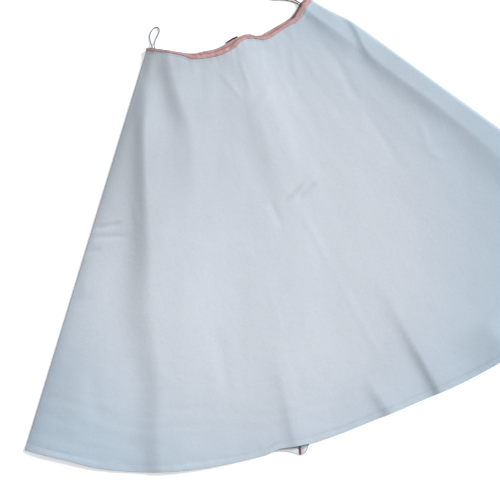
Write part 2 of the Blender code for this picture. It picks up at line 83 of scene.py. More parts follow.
WAIST = (
    WaistRow(-33.4, -1.6, 4.2, -6.0),
    WaistRow(-31.0, -1.8, 4.0, -8.2),
    WaistRow(-28.5, -2.4, 4.0, -8.8),
    WaistRow(-25.5, -2.2, 4.0, -8.8),
    WaistRow(-23.4, -1.4, 4.0, -7.6),
    WaistRow(-21.0, 0.6, 4.2, -6.6),
    WaistRow(-19.2, 2.6, 5.0, -5.4),
    WaistRow(-17.0, 3.6, 9.2, -5.2),
    WaistRow(-13.0, 3.4, 8.8, -8.2),
    WaistRow(-9.0, 1.4, 9.2, -10.0),
    WaistRow(-6.9, -0.4, 9.2, -13.0),
    WaistRow(-4.4, -4.6, 10.0, -17.0),
    WaistRow(-2.2, -9.0, 10.5, -20.6),
    WaistRow(0.4, -13.2, 6.6, -22.8),
    WaistRow(2.6, -13.0, 4.4, -23.6),
    WaistRow(4.8, -9.6, 4.2, -20.4),
    WaistRow(6.6, -4.4, 4.6, -13.0),
    WaistRow(8.4, -0.6, 6.8, -9.6),
    WaistRow(10.8, -0.6, 8.0, -10.0),
    WaistRow(13.5, -0.6, 6.4, -10.4),
    WaistRow(16.3, -1.4, 6.4, -9.8),
    WaistRow(18.6, -0.6, 6.6, -9.0),
    WaistRow(20.6, 0.2, 9.0, -8.4),
    WaistRow(22.6, -1.0, 9.8, -9.6),
    WaistRow(25.1, -5.0, 9.6, -13.6),
    WaistRow(28.0, -8.6, 8.6, -17.6),
    WaistRow(33.4, -10.0, 6.5, -18.0),
)


class HemRow(NamedTuple):
    """The front's hem at one place, down from the waist radius."""

    angle: float
    length: float


HEM = (
    HemRow(-33.4, 774.0),
    HemRow(-30.0, 774.5),
    HemRow(-26.2, 779.0),
    HemRow(-22.5, 777.5),
    HemRow(-18.8, 773.0),
    HemRow(-15.0, 765.0),
    HemRow(-12.2, 758.5),
    HemRow(-10.4, 754.5),
    HemRow(-9.2, 748.5),
    HemRow(-7.4, 749.5),
    HemRow(-6.2, 749.0),
    HemRow(-3.4, 745.5),
    HemRow(0.8, 740.0),
    HemRow(5.0, 739.0),
    HemRow(9.3, 743.0),
    HemRow(13.6, 746.5),
    HemRow(20.0, 752.0),
    HemRow(27.0, 763.0),
    HemRow(33.4, 774.0),
)


class PeekRow(NamedTuple):
    """How far the back's hem reaches past the front's at one place."""

    angle: float
    past_front: float


PEEK = (
    PeekRow(-33.4, -5.0),
    PeekRow(-11.4, -5.0),
    PeekRow(-10.1, 0.0),
    PeekRow(-9.3, 4.0),
    PeekRow(-8.6, 7.0),
    PeekRow(-7.9, 11.5),
    PeekRow(-7.2, 16.5),
    PeekRow(-6.85, 13.5),
    PeekRow(-6.65, 7.5),
    PeekRow(-6.4, -3.0),
    PeekRow(-5.4, -5.0),
    PeekRow(33.4, -5.0),
)


class HipRow(NamedTuple):
    """Angle of the right seam, which curves in over the hip."""

    down: float
    angle: float


RIGHT_HIP = (
    HipRow(-20.0, 30.4),
    HipRow(20.0, 31.4),
    HipRow(57.0, 32.6),
    HipRow(80.0, 33.25),
    HipRow(115.0, 33.4),
    HipRow(800.0, 33.4),
)


class Crest(NamedTuple):
    """A fold's crest at one place down the skirt, with the widths of its left and right sides."""

    down: float
    angle: float
    height: float
    left: float
    right: float


class Fold(NamedTuple):
    """A large fold, as places along its crest, which is round where its softness is 2 and crisper below."""

    name: str
    softness: float
    crest: tuple[Crest, ...]


FOLDS = (
    Fold("left_side", 2.0, (
        Crest(-20.0, -30.8, 0.6, 16.0, 80.0),
        Crest(20.0, -30.3, 1.2, 20.0, 90.0),
        Crest(60.0, -29.6, 1.8, 24.0, 110.0),
        Crest(120.0, -28.9, 2.4, 30.0, 110.0),
        Crest(200.0, -28.4, 2.8, 34.0, 100.0),
        Crest(270.0, -28.0, 2.0, 36.0, 90.0),
        Crest(340.0, -28.0, 0.8, 36.0, 80.0),
        Crest(420.0, -28.0, 0.0, 36.0, 80.0),
    )),
    Fold("long_left", 2.0, (
        Crest(60.0, -29.4, 0.0, 18.0, 60.0),
        Crest(110.0, -28.6, 3.2, 18.0, 70.0),
        Crest(160.0, -27.8, 6.0, 17.0, 90.0),
        Crest(200.0, -26.9, 7.2, 19.0, 110.0),
        Crest(250.0, -25.9, 8.2, 22.0, 120.0),
        Crest(300.0, -24.9, 9.0, 26.0, 130.0),
        Crest(350.0, -24.1, 9.2, 29.0, 140.0),
        Crest(400.0, -23.5, 8.6, 32.0, 150.0),
        Crest(500.0, -22.5, 6.8, 40.0, 150.0),
        Crest(560.0, -21.7, 5.2, 36.0, 150.0),
        Crest(620.0, -21.0, 4.4, 28.0, 150.0),
        Crest(700.0, -20.8, 3.8, 28.0, 140.0),
        Crest(800.0, -20.2, 5.0, 26.0, 130.0),
    )),
    Fold("left_waist", 2.0, (
        Crest(-20.0, -25.2, 4.6, 24.0, 120.0),
        Crest(10.0, -24.4, 5.4, 24.0, 130.0),
        Crest(60.0, -21.6, 6.6, 26.0, 150.0),
        Crest(100.0, -19.5, 7.6, 28.0, 160.0),
        Crest(150.0, -17.5, 6.6, 34.0, 160.0),
        Crest(200.0, -17.0, 4.6, 42.0, 150.0),
        Crest(280.0, -16.6, 1.6, 44.0, 130.0),
        Crest(350.0, -16.6, 0.0, 44.0, 120.0),
    )),
    Fold("label_rise", 1.5, (
        Crest(-30.0, -1.0, 4.6, 60.0, 50.0),
        Crest(10.0, -1.0, 4.4, 60.0, 50.0),
        Crest(50.0, -1.1, 3.0, 56.0, 50.0),
        Crest(90.0, -1.2, 1.6, 50.0, 50.0),
        Crest(150.0, -1.2, 0.0, 40.0, 50.0),
    )),
    Fold("middle_waist", 2.0, (
        Crest(80.0, -1.6, 0.0, 24.0, 50.0),
        Crest(140.0, -1.2, 1.3, 24.0, 50.0),
        Crest(200.0, -1.0, 1.3, 24.0, 50.0),
        Crest(280.0, -1.4, 0.7, 24.0, 50.0),
        Crest(350.0, -2.0, 0.0, 24.0, 50.0),
    )),
    Fold("right_hip", 1.5, (
        Crest(-20.0, 26.0, 1.4, 10.0, 80.0),
        Crest(10.0, 26.6, 2.6, 12.0, 80.0),
        Crest(60.0, 27.8, 4.0, 17.0, 50.0),
        Crest(100.0, 28.2, 3.8, 22.0, 36.0),
        Crest(140.0, 28.6, 1.8, 25.0, 34.0),
        Crest(190.0, 29.2, 0.0, 25.0, 30.0),
    )),
    Fold("right_side", 1.5, (
        Crest(55.0, 34.0, 0.0, 7.0, 200.0),
        Crest(75.0, 33.2, 1.6, 7.0, 200.0),
        Crest(100.0, 31.7, 2.2, 7.0, 200.0),
        Crest(135.0, 29.6, 2.6, 9.0, 200.0),
        Crest(160.0, 29.0, 3.4, 14.0, 200.0),
        Crest(200.0, 29.2, 4.6, 19.0, 200.0),
        Crest(300.0, 29.9, 5.2, 21.0, 200.0),
        Crest(350.0, 30.0, 4.4, 20.0, 200.0),
        Crest(400.0, 30.1, 4.4, 25.0, 200.0),
        Crest(500.0, 29.8, 4.2, 34.0, 200.0),
        Crest(650.0, 29.6, 4.0, 36.0, 200.0),
        Crest(800.0, 29.4, 4.0, 34.0, 200.0),
    )),
    Fold("hem_left", 1.5, (
        Crest(560.0, -8.0, 0.0, 11.0, 44.0),
        Crest(640.0, -7.9, 0.9, 11.0, 44.0),
        Crest(700.0, -7.8, 1.6, 11.0, 44.0),
        Crest(800.0, -7.6, 2.6, 11.0, 44.0),
    )),
    Fold("hem_middle", 1.5, (
        Crest(665.0, 1.0, 0.0, 12.0, 60.0),
        Crest(700.0, 1.3, 2.2, 12.0, 60.0),
        Crest(740.0, 1.8, 3.6, 12.0, 60.0),
        Crest(800.0, 2.4, 4.4, 12.0, 60.0),
    )),
    Fold("hem_right", 1.5, (
        Crest(490.0, 6.5, 0.0, 16.0, 90.0),
        Crest(560.0, 6.8, 1.0, 14.0, 90.0),
        Crest(620.0, 6.85, 2.0, 10.5, 90.0),
        Crest(680.0, 7.0, 3.6, 10.0, 90.0),
        Crest(740.0, 7.1, 4.4, 10.0, 90.0),
        Crest(800.0, 7.1, 4.8, 10.0, 90.0),
    )),
    Fold("hem_corner", 1.5, (
        Crest(662.0, 14.6, 0.0, 44.0, 70.0),
        Crest(694.0, 14.8, 4.8, 46.0, 70.0),
        Crest(800.0, 15.0, 7.0, 46.0, 70.0),
    )),
    Fold("hem_far", 1.5, (
        Crest(620.0, 21.6, 0.0, 16.0, 60.0),
        Crest(700.0, 21.6, 2.2, 16.0, 60.0),
        Crest(800.0, 21.4, 3.6, 16.0, 60.0),
    )),
    Fold("hem_last", 1.5, (
        Crest(580.0, 26.2, 0.0, 18.0, 70.0),
        Crest(700.0, 26.4, 2.4, 18.0, 70.0),
        Crest(800.0, 26.8, 3.4, 18.0, 70.0),
    )),
)


class Crease(NamedTuple):
    """A soft ridge, or a trough where its height is negative, with painted shade along it; with no height, a
    patch of painted shade, painted light where its shade is negative.
    """

    name: str
    angle_start: float
    down_start: float
    angle_end: float
    down_end: float
    height: float
    width: float
    shade: float = 0.0


# A crease's shade is painted shade along it; the rows of no height are patches of painted shade, or of
# painted light where their shade is negative.
CREASES = (
    Crease("seam_pull_upper", -33.2, 362.5, -29.0, 339.0, -1.3, 4.6, 0.055),
    Crease("seam_pull_middle", -33.0, 378.0, -27.4, 360.5, -0.9, 4.6, 0.03),
    Crease("seam_pull_lower", -33.0, 407.0, -31.2, 394.0, -0.9, 5.0, 0.03),
    Crease("seam_dent_upper", -32.1, 458.0, -31.8, 484.0, 0.35, 6.0, 0.04),
    Crease("seam_dent_lower", -33.2, 499.0, -30.5, 484.0, -0.5, 5.5, 0.03),
    Crease("left_curl", -27.5, 296.0, -26.4, 340.0, 0.3, 4.5),
    Crease("waist_light", -10.2, 14.0, -4.4, 92.0, 0.14, 6.0),
    Crease("waist_ridge", -10.9, 24.7, -3.4, 116.2, 0.3, 4.5),
    Crease("waist_shadow", -2.0, 14.0, -1.7, 96.0, 0.3, 5.0, 0.03),
    Crease("waist_diagonal", -2.0, 130.0, 4.0, 96.0, 0.5, 6.0),
    Crease("fan_first", 5.5, 16.0, 3.5, 62.0, 0.18, 5.0),
    Crease("fan_second", 12.5, 14.0, 8.5, 80.0, 0.18, 5.5),
    Crease("fan_third", 17.0, 18.0, 10.5, 112.0, 0.24, 6.0),
    Crease("right_faint_upper", 22.6, 105.0, 19.6, 210.0, -0.4, 9.0),
    Crease("right_faint_lower", 19.6, 210.0, 18.6, 330.0, -0.3, 8.0),
    Crease("right_loop_upper", 25.8, 312.0, 23.2, 362.0, 0.35, 7.0),
    Crease("right_loop_turn", 23.2, 362.0, 24.0, 392.0, 0.35, 6.0),
    Crease("right_loop_lower", 24.0, 392.0, 27.4, 408.0, 0.3, 7.0),
    Crease("middle_slash_upper", -2.4, 317.0, 2.5, 291.6, -0.8, 4.2, 0.11),
    Crease("middle_slash_lower", 0.4, 318.0, 4.5, 297.5, -0.8, 4.2, 0.1),
    Crease("middle_spot", -4.3, 300.0, -3.3, 362.0, -0.4, 7.0),
    Crease("middle_ray_upper", 0.5, 340.0, 1.6, 460.0, 0.2, 5.0),
    Crease("middle_ray_lower", 1.6, 460.0, 3.4, 690.0, 0.2, 6.0),
    Crease("hem_left_ray", -7.7, 440.0, -6.6, 545.0, 0.1, 5.0),
    Crease("hem_left_ray_lower", -6.6, 545.0, -5.9, 700.0, -0.15, 7.0),
    Crease("corner_tone", -33.0, 5.0, -27.5, 30.0, 0.0, 20.0, -0.35),
    Crease("left_trough_tone", -29.0, 110.0, -27.0, 400.0, 0.0, 17.0, -0.19),
    Crease("right_side_tone", 27.0, 200.0, 29.0, 420.0, 0.0, 30.0, -0.15),
    Crease("upper_right_tone", 17.5, 50.0, 20.5, 150.0, 0.0, 42.0, -0.2),
    Crease("lower_left_tone", -31.0, 560.0, -31.0, 770.0, 0.0, 40.0, 0.09),
    Crease("lower_middle_tone", -19.0, 640.0, -16.5, 770.0, 0.0, 50.0, -0.12),
    Crease("lower_left_soft", -29.0, 610.0, -27.0, 700.0, -0.5, 14.0),
    Crease("lower_middle_soft", -14.6, 520.0, -13.8, 650.0, -0.4, 12.0),
)


class Ripple(NamedTuple):
    """Unevenness of the cloth: its size across and down the skirt, its height, and how far down it starts."""

    across: float
    down: float
    height: float
    layer: float
    start: float = -400.0

    def at(self, across: Floats, down: Floats) -> np.ndarray:
        """Height that it adds at a place, whatever its start."""
        return self.height * uneven(across / self.across, down / self.down, self.layer)


RIPPLES = (
    Ripple(120.0, 260.0, 0.8, 3.0),
    Ripple(46.0, 110.0, 0.35, 17.0),
    Ripple(24.0, 40.0, 0.12, 31.0),
    Ripple(60.0, 11.0, 0.42, 43.0, 560.0),
    Ripple(21.0, 8.0, 0.16, 57.0, 480.0),
)

# The loops' routes on the floor, x and y, from one sewn end to the other
LEFT_LOOP = (
    (-161.9, 394.0),
    (-161.8, 399.2),
    (-161.6, 405.5),
    (-161.4, 412.5),
    (-161.0, 420.5),
    (-158.8, 428.6),
    (-152.6, 436.4),
    (-145.6, 440.6),
    (-140.4, 439.8),
    (-138.0, 435.4),
    (-139.6, 430.0),
    (-144.4, 424.2),
    (-150.0, 417.8),
    (-154.6, 411.6),
    (-157.2, 405.4),
    (-158.2, 398.6),
    (-159.0, 393.0),
)
RIGHT_LOOP = (
    (138.7, 385.0),
    (134.9, 393.2),
    (132.6, 398.2),
    (129.2, 402.6),
    (122.6, 408.6),
    (113.5, 414.0),
    (101.5, 419.4),
    (91.0, 422.6),
    (84.4, 427.4),
    (84.0, 434.4),
    (89.6, 438.4),
    (97.6, 435.8),
    (107.6, 428.8),
    (117.6, 420.8),
    (126.6, 412.6),
    (132.6, 405.6),
    (136.2, 399.6),
    (138.3, 394.6),
    (141.9, 386.0),
)
LOOP_ROOTS = ((-160.4, 400.0), (137.4, 392.0))


@dataclass(frozen=True)
class Curve:
    """A smooth curve through a table's rows that never swings past them, level past both ends."""

    places: np.ndarray
    values: np.ndarray

    @classmethod
    def of(cls, rows: Sequence[NamedTuple], place: str, value: str) -> "Curve":
        """Curve of one column of a table over another."""
        columns = ([getattr(row, name) for row in rows] for name in (place, value))
        return cls(*map(np.array, columns))

    def slopes(self) -> np.ndarray:
        """Slopes of the curve at its rows.

        Returns:
            A slope for each row.
        """
        rises = np.diff(self.values) / np.diff(self.places)
        slopes = np.zeros(len(self.values))
        slopes[0] = rises[0]
        slopes[-1] = rises[-1]
        for row, (before, after) in enumerate(zip(rises, rises[1:]), start=1):
            if before * after > 0:
                slopes[row] = 2 * before * after / (before + after)
        return slopes

    def at(self, place: Floats) -> np.ndarray:
        """Value of the curve.

        Args:
            place: where to read it, one place or an array of them.

        Returns:
            The values, in the shape of place.
        """
        slopes = self.slopes()
        place = np.clip(place, self.places[0], self.places[-1])
        row = np.clip(np.searchsorted(self.places, place, side="right") - 1, 0, len(self.places) - 2)
        width = self.places[row + 1] - self.places[row]
        t = (place - self.places[row]) / width
        start = (1 + 2 * t) * (1 - t) ** 2 * self.values[row] + t * (1 - t) ** 2 * width * slopes[row]
        finish = t * t * (3 - 2 * t) * self.values[row + 1] + t * t * (t - 1) * width * slopes[row + 1]
        return start + finish


def ease(share: Floats) -> np.ndarray:
    """Smooth step from 0 to 1."""
    share = np.clip(share, 0.0, 1.0)
    return share * share * (3 - 2 * share)


def bump(distance: Floats, width: Floats, softness: float = 2.0) -> np.ndarray:
    """Hump that is 1 in its middle, and round on top where its softness is 2."""
    return np.exp(-np.abs(distance / width) ** softness)


def uneven(across: np.ndarray, along: np.ndarray, layer: float) -> np.ndarray:
    """Smooth unevenness from -1 to 1, always the same at the same place.

    Args:
        across: first coordinate, where 1 is the size of a swell.
        along: second coordinate, likewise.
        layer: picks one of many unlike patterns.

    Returns:
        An array in the shape of across and along together.
    """
    across, along = np.broadcast_arrays(across, along)
    flat = [noise.noise(Vector((a, b, layer))) for a, b in zip(across.ravel(), along.ravel())]
    return np.array(flat).reshape(across.shape)


def reach_along(points: np.ndarray) -> np.ndarray:
    """Distance of each point from the first one, along their line."""
    return np.concatenate([[0.0], np.cumsum(np.linalg.norm(np.diff(points, axis=0), axis=1))])


@dataclass(frozen=True)
class SkirtForm:
    """How the skirt is cut and lies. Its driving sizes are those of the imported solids."""

    half_angle: float = 33.4
    waist_radius: float = 316.5
    point_y: float = 666.1
    solid_cloth: float = 1.2
    gap: float = 0.3
    hem_turn: float = 10.0
    hem_step: float = 1.5
    hem_extra: float = 0.7
    seam_at_waist: float = -2.2
    seam_at_hem: float = -7.4
    seam_length: float = 755.0
    waist_stack: float = 2.1
    waist_stack_ends: float = 45.0
    loop_room: float = 1.8
    loop_room_width: float = 20.0
    seam_room: float = 1.6
    seam_room_width: float = 75.0
    left_puff: float = 4.4
    left_roll: float = 15.0
    left_hold: float = 11.0
    right_puff: float = 2.0
    right_roll: float = 2.0
    right_hold: float = 2.4
    side_puff_ends: float = 150.0
    crease_hold: float = 5.5
    crease_held: float = 0.7
    crease_fade: float = 0.3
    mean_radius: float = 700.0
    ripple_fade: float = 150.0
    # Painted shadow where the waist strips meet: its spots, and where it fades out past the right hip.
    shadow_spot_places: tuple[float, ...] = (7.5, 21.5, 25.8, 28.2)
    shadow_spot_width: float = 2.8
    shadow_ends: float = 15.0
    shadow_fade: float = 7.0
    least_lift: float = 1.05
    front_edge: Curve = field(default_factory=lambda: Curve.of(WAIST, "angle", "front_edge"))
    front_strip: Curve = field(default_factory=lambda: Curve.of(WAIST, "angle", "front_strip"))
    back_edge: Curve = field(default_factory=lambda: Curve.of(WAIST, "angle", "back_edge"))
    hem: Curve = field(default_factory=lambda: Curve.of(HEM, "angle", "length"))
    peek: Curve = field(default_factory=lambda: Curve.of(PEEK, "angle", "past_front"))
    hip: Curve = field(default_factory=lambda: Curve.of(RIGHT_HIP, "down", "angle"))

    def on_floor(self, angle: Floats, down: Floats) -> tuple[np.ndarray, np.ndarray]:
        """The x and y of a place on the skirt."""
        radius = self.waist_radius + down
        return radius * np.sin(np.radians(angle)), self.point_y - radius * np.cos(np.radians(angle))

    def arc_between(self, angle: Floats, other: Floats, down: Floats) -> np.ndarray:
        """Signed distance round the skirt from one angle to another."""
        return np.radians(angle - other) * (self.waist_radius + down)

    def degrees_of(self, distance: Floats, down: Floats) -> np.ndarray:
        """Angle that a distance round the skirt spans."""
        return np.degrees(distance / (self.waist_radius + down))

    def left_side(self, down: Floats) -> np.ndarray:
        """Angle of the left seam."""
        return np.full_like(np.asarray(down, float), -self.half_angle)

    def right_side(self, down: Floats) -> np.ndarray:
        """Angle of the right seam."""
        return self.hip.at(down)

    def seam_angle(self, down: Floats) -> np.ndarray:
        """Angle of the centre-back seam, which lies a little aslant."""
        share = np.clip(down / self.seam_length, 0.0, 1.1)
        return self.seam_at_waist + (self.seam_at_hem - self.seam_at_waist) * share

    def back_hem(self, angle: Floats) -> np.ndarray:
        """Distance of the back's hem below the waist radius."""
        return self.hem.at(angle) + self.peek.at(angle)

    def side_distances(self, angle: Floats, down: Floats) -> tuple[np.ndarray, np.ndarray]:
        """Distances to the side seams.

        Args:
            angle: places round the skirt.
            down: places down the skirt.

        Returns:
            Distances to the left seam and to the right one.
        """
        from_left = self.arc_between(angle, self.left_side(down), down)
        from_right = self.arc_between(self.right_side(down), angle, down)
        return np.maximum(from_left, 0.0), np.maximum(from_right, 0.0)

    def side_distance(self, angle: Floats, down: Floats) -> np.ndarray:
        """Distance to the nearer side seam."""
        return np.minimum(*self.side_distances(angle, down))

    def shadow_spots(self, angle: Floats) -> np.ndarray:
        """1 at the spots of painted shadow where the waist strips meet, and 0 elsewhere."""
        return sum(bump(self.arc_between(angle, place, 0.0), self.shadow_spot_width) for place in self.shadow_spot_places)

    def strip_shadow(self, angle: Floats, strength: float) -> np.ndarray:
        """Painted shadow on the waist strips where they meet, as far as the right hip, and at the painted
        shadow spots.
        """
        fading = ease((angle - self.shadow_ends) / self.shadow_fade)
        return np.maximum(strength * (1 - fading), self.shadow_spots(angle))

    def puffs(self) -> tuple[Triple, Triple]:
        """Height of the puff, its roll and the hold of the seam at the left and right sides."""
        left = (self.left_puff, self.left_roll, self.left_hold)
        return left, (self.right_puff, self.right_roll, self.right_hold)

    def fold_height(self, fold: Fold, angle: np.ndarray, down: np.ndarray) -> np.ndarray:
        """Height that one large fold adds.

        Args:
            fold: the fold.
            angle: places round the skirt.
            down: places down the skirt, in the same shape.

        Returns:
            Heights, in the same shape.
        """
        crest, height, left, right = (
            Curve.of(fold.crest, "down", column).at(down) for column in ("angle", "height", "left", "right")
        )
        across = self.arc_between(angle, crest, down)
        return height * bump(across, np.where(across < 0, left, right), fold.softness)

    def rest_height(self, angle: np.ndarray, down: np.ndarray) -> np.ndarray:
        """Lowest that the front's solid can lie, over what is sewn to the back.

        Args:
            angle: places round the skirt.
            down: places down the skirt, in the same shape.

        Returns:
            Heights over the floor.
        """
        x, y = self.on_floor(angle, down)
        loops = np.max([bump(np.hypot(x - a, y - b), self.loop_room_width) for a, b in LOOP_ROOTS], axis=0)
        waist = self.waist_stack * (1 - ease(down / self.waist_stack_ends))
        from_seam = self.arc_between(angle, self.seam_angle(down), down)
        seam = self.seam_room * bump(from_seam, self.seam_room_width)
        return self.solid_cloth + self.gap + np.maximum(waist, seam) + self.loop_room * loops

    def crease_share(self, crease: Crease, x: np.ndarray, y: np.ndarray) -> np.ndarray:
        """Share of one small crease at a place on the floor.

        Args:
            crease: the crease.
            x: places to the right.
            y: places towards the waist, in the same shape.

        Returns:
            1 in the middle of the crease, and 0 well away from it.
        """
        start = np.array(self.on_floor(crease.angle_start, crease.down_start))
        run = np.array(self.on_floor(crease.angle_end, crease.down_end)) - start
        length = np.hypot(*run)
        along = ((x - start[0]) * run[0] + (y - start[1]) * run[1]) / length
        across = ((x - start[0]) * run[1] - (y - start[1]) * run[0]) / length
        fade = length * self.crease_fade + crease.width
        ends = ease((along + crease.width) / fade) * ease((length + crease.width - along) / fade)
        return ends * bump(across, crease.width)

    def crease_shade(self, angle: np.ndarray, down: np.ndarray) -> np.ndarray:
        """Painted shade along the small creases, and the patches' painted shade and light, where negative is
        painted light.
        """
        x, y = self.on_floor(angle, down)
        return sum(crease.shade * self.crease_share(crease, x, y) for crease in CREASES if crease.shade)

    def relief(self, angle: np.ndarray, down: np.ndarray) -> np.ndarray:
        """Small creases and unevenness on top of the large folds.

        Args:
            angle: places round the skirt.
            down: places down the skirt, in the same shape.

        Returns:
            Heights to add.
        """
        x, y = self.on_floor(angle, down)
        height = sum(crease.height * self.crease_share(crease, x, y) for crease in CREASES)
        across = np.radians(angle) * self.mean_radius
        for ripple in RIPPLES:
            height = height + ripple.at(across, down) * ease((down - ripple.start) / self.ripple_fade)
        return height * (1 - self.crease_held * bump(self.side_distance(angle, down), self.crease_hold))

    def front_top(self, angle: np.ndarray, down: np.ndarray) -> np.ndarray:
        """Height of the front cloth's upper face, without its hem's second layer.

        Args:
            angle: places round the skirt.
            down: places down the skirt, in the same shape.

        Returns:
            Heights over the floor.
        """
        lift = self.solid_cloth + self.relief(angle, down)
        folds = sum(self.fold_height(fold, angle, down) for fold in FOLDS)
        sides = zip(self.side_distances(angle, down), self.puffs())
        for distance, (puff, roll, hold) in sides:
            lift = lift + puff * (1 - np.exp(-distance / roll)) * bump(distance, self.side_puff_ends)
            folds = folds * (1 - bump(distance, hold))
        return self.rest_height(angle, down) + np.maximum(lift + folds, self.least_lift)


class Recipe:
    """A material's nodes, added one by one and joined to its Principled shader."""

    def __init__(self, name: str, roughness: float) -> None:
        """Starts a material with a plain shader.

        Args:
            name: name of the material.
            roughness: roughness of its surface, from 0 to 1.
        """
        self.material = bpy.data.materials.new(name)
        self.material.use_nodes = True
        self.tree = self.material.node_tree
        self.shader = self.tree.nodes["Principled BSDF"]
        self.set("Roughness", roughness)
        self.set("Metallic", 0.0)

    def set(self, socket: str, value: float | tuple[float, ...]) -> None:
        """Sets a value of the shader that is the same all over."""
        self.shader.inputs[socket].default_value = value

    def join(self, socket: Socket, source: object) -> None:
        """Feeds a socket from another one, or with a fixed value.

        Args:
            socket: the socket to feed.
            source: another socket, or a value.
        """
        if isinstance(source, Socket):
            self.tree.links.new(source, socket)
        else:
            socket.default_value = source

    def node(self, kind: str, inputs: dict[str | int, object], **settings: object) -> bpy.types.Node:
        """Adds a node.

        Args:
            kind: the node's type.
            inputs: what feeds its sockets, by name or number.
            **settings: the node's own settings.

        Returns:
            The new node.
        """
        node = self.tree.nodes.new(kind)
        for name, value in settings.items():
            setattr(node, name, value)
        for socket, source in inputs.items():
            self.join(node.inputs[socket], source)
        return node

    def object_place(self) -> Socket:
        """Place on the piece, in metres."""
        return self.node("ShaderNodeTexCoord", {}).outputs["Object"]

    def strip_place(self, length: float, width: float) -> Socket:
        """Place along and across a strip in metres, from its UV map."""
        uv = self.node("ShaderNodeUVMap", {}, uv_map="UVMap").outputs["UV"]
        return self.scaled(uv, (length * MM, width * MM, 1.0))

    def scaled(self, place: Socket, scale: Triple) -> Socket:
        """Place stretched along each axis."""
        return self.node("ShaderNodeMapping", {"Vector": place, "Scale": scale}).outputs["Vector"]

    def grain(self, place: Socket, sizes: Triple, detail: float = 2.0) -> Socket:
        """Spotty noise.

        Args:
            place: place on the piece.
            sizes: size of the spots along each axis, in millimetres.
            detail: how many finer layers it has.

        Returns:
            The noise, from 0 to 1.
        """
        stretched = self.scaled(place, tuple(1 / (size * MM) for size in sizes))
        inputs = {"Vector": stretched, "Scale": 1.0, "Detail": detail}
        return self.node("ShaderNodeTexNoise", inputs).outputs["Fac"]

    def distance(self, place: Socket, middle: Triple) -> Socket:
        """Distance from a place on the piece to a fixed one, in metres."""
        return self.node("ShaderNodeVectorMath", {0: place, 1: middle}, operation="DISTANCE").outputs["Value"]

    def maths(self, operation: str, *values: object) -> Socket:
        """Result of one arithmetic step."""
        return self.node("ShaderNodeMath", dict(enumerate(values)), operation=operation).outputs[0]

    def ranged(
        self, value: Socket, low: float, high: float, to_low: float = 0.0, to_high: float = 1.0
    ) -> Socket:
        """Value brought smoothly from one range to another."""
        inputs = {"Value": value, "From Min": low, "From Max": high, "To Min": to_low, "To Max": to_high}
        return self.node("ShaderNodeMapRange", inputs, interpolation_type="SMOOTHSTEP").outputs["Result"]

    def blend(self, share: object, first: object, second: object) -> Socket:
        """Mixes two colours.

        Args:
            share: how much of the second colour, from 0 to 1.
            first: a colour, or a socket that gives it.
            second: likewise.

        Returns:
            The mixed colour.
        """
        first = (*first, 1.0) if isinstance(first, tuple) else first
        second = (*second, 1.0) if isinstance(second, tuple) else second
        return self.node("ShaderNodeMix", {0: share, 6: first, 7: second}, data_type="RGBA").outputs[2]

    def attribute(self, name: str) -> Socket:
        """Value that the mesh carries at each point."""
        return self.node("ShaderNodeAttribute", {}, attribute_name=name).outputs["Fac"]

    def woven(self, place: Socket, pitch: float) -> Socket:
        """Plain weave with threads along X and Y.

        Args:
            place: place on the piece.
            pitch: distance between threads, in millimetres.

        Returns:
            Height of the weave, from -1 to 1.
        """
        parts = self.node("ShaderNodeSeparateXYZ", {0: place})
        threads = math.pi / (pitch * MM)
        waves = [self.maths("SINE", self.maths("MULTIPLY", axis, threads)) for axis in parts.outputs[:2]]
        return self.maths("MULTIPLY", *waves)

    def raised(self, layers: Sequence[tuple[Socket, float]]) -> None:
        """Bumps of the surface.

        Args:
            layers: the height of each layer and how many millimetres a height of 1 stands for.
        """
        normal = None
        for height, distance in layers:
            inputs = {"Height": height, "Distance": distance * MM, "Strength": 1.0}
            if normal is not None:
                inputs["Normal"] = normal
            normal = self.node("ShaderNodeBump", inputs).outputs["Normal"]
        self.join(self.shader.inputs["Normal"], normal)

    def coloured(self, colour: Socket) -> None:
        """Colour of the surface."""
        self.join(self.shader.inputs["Base Color"], colour)


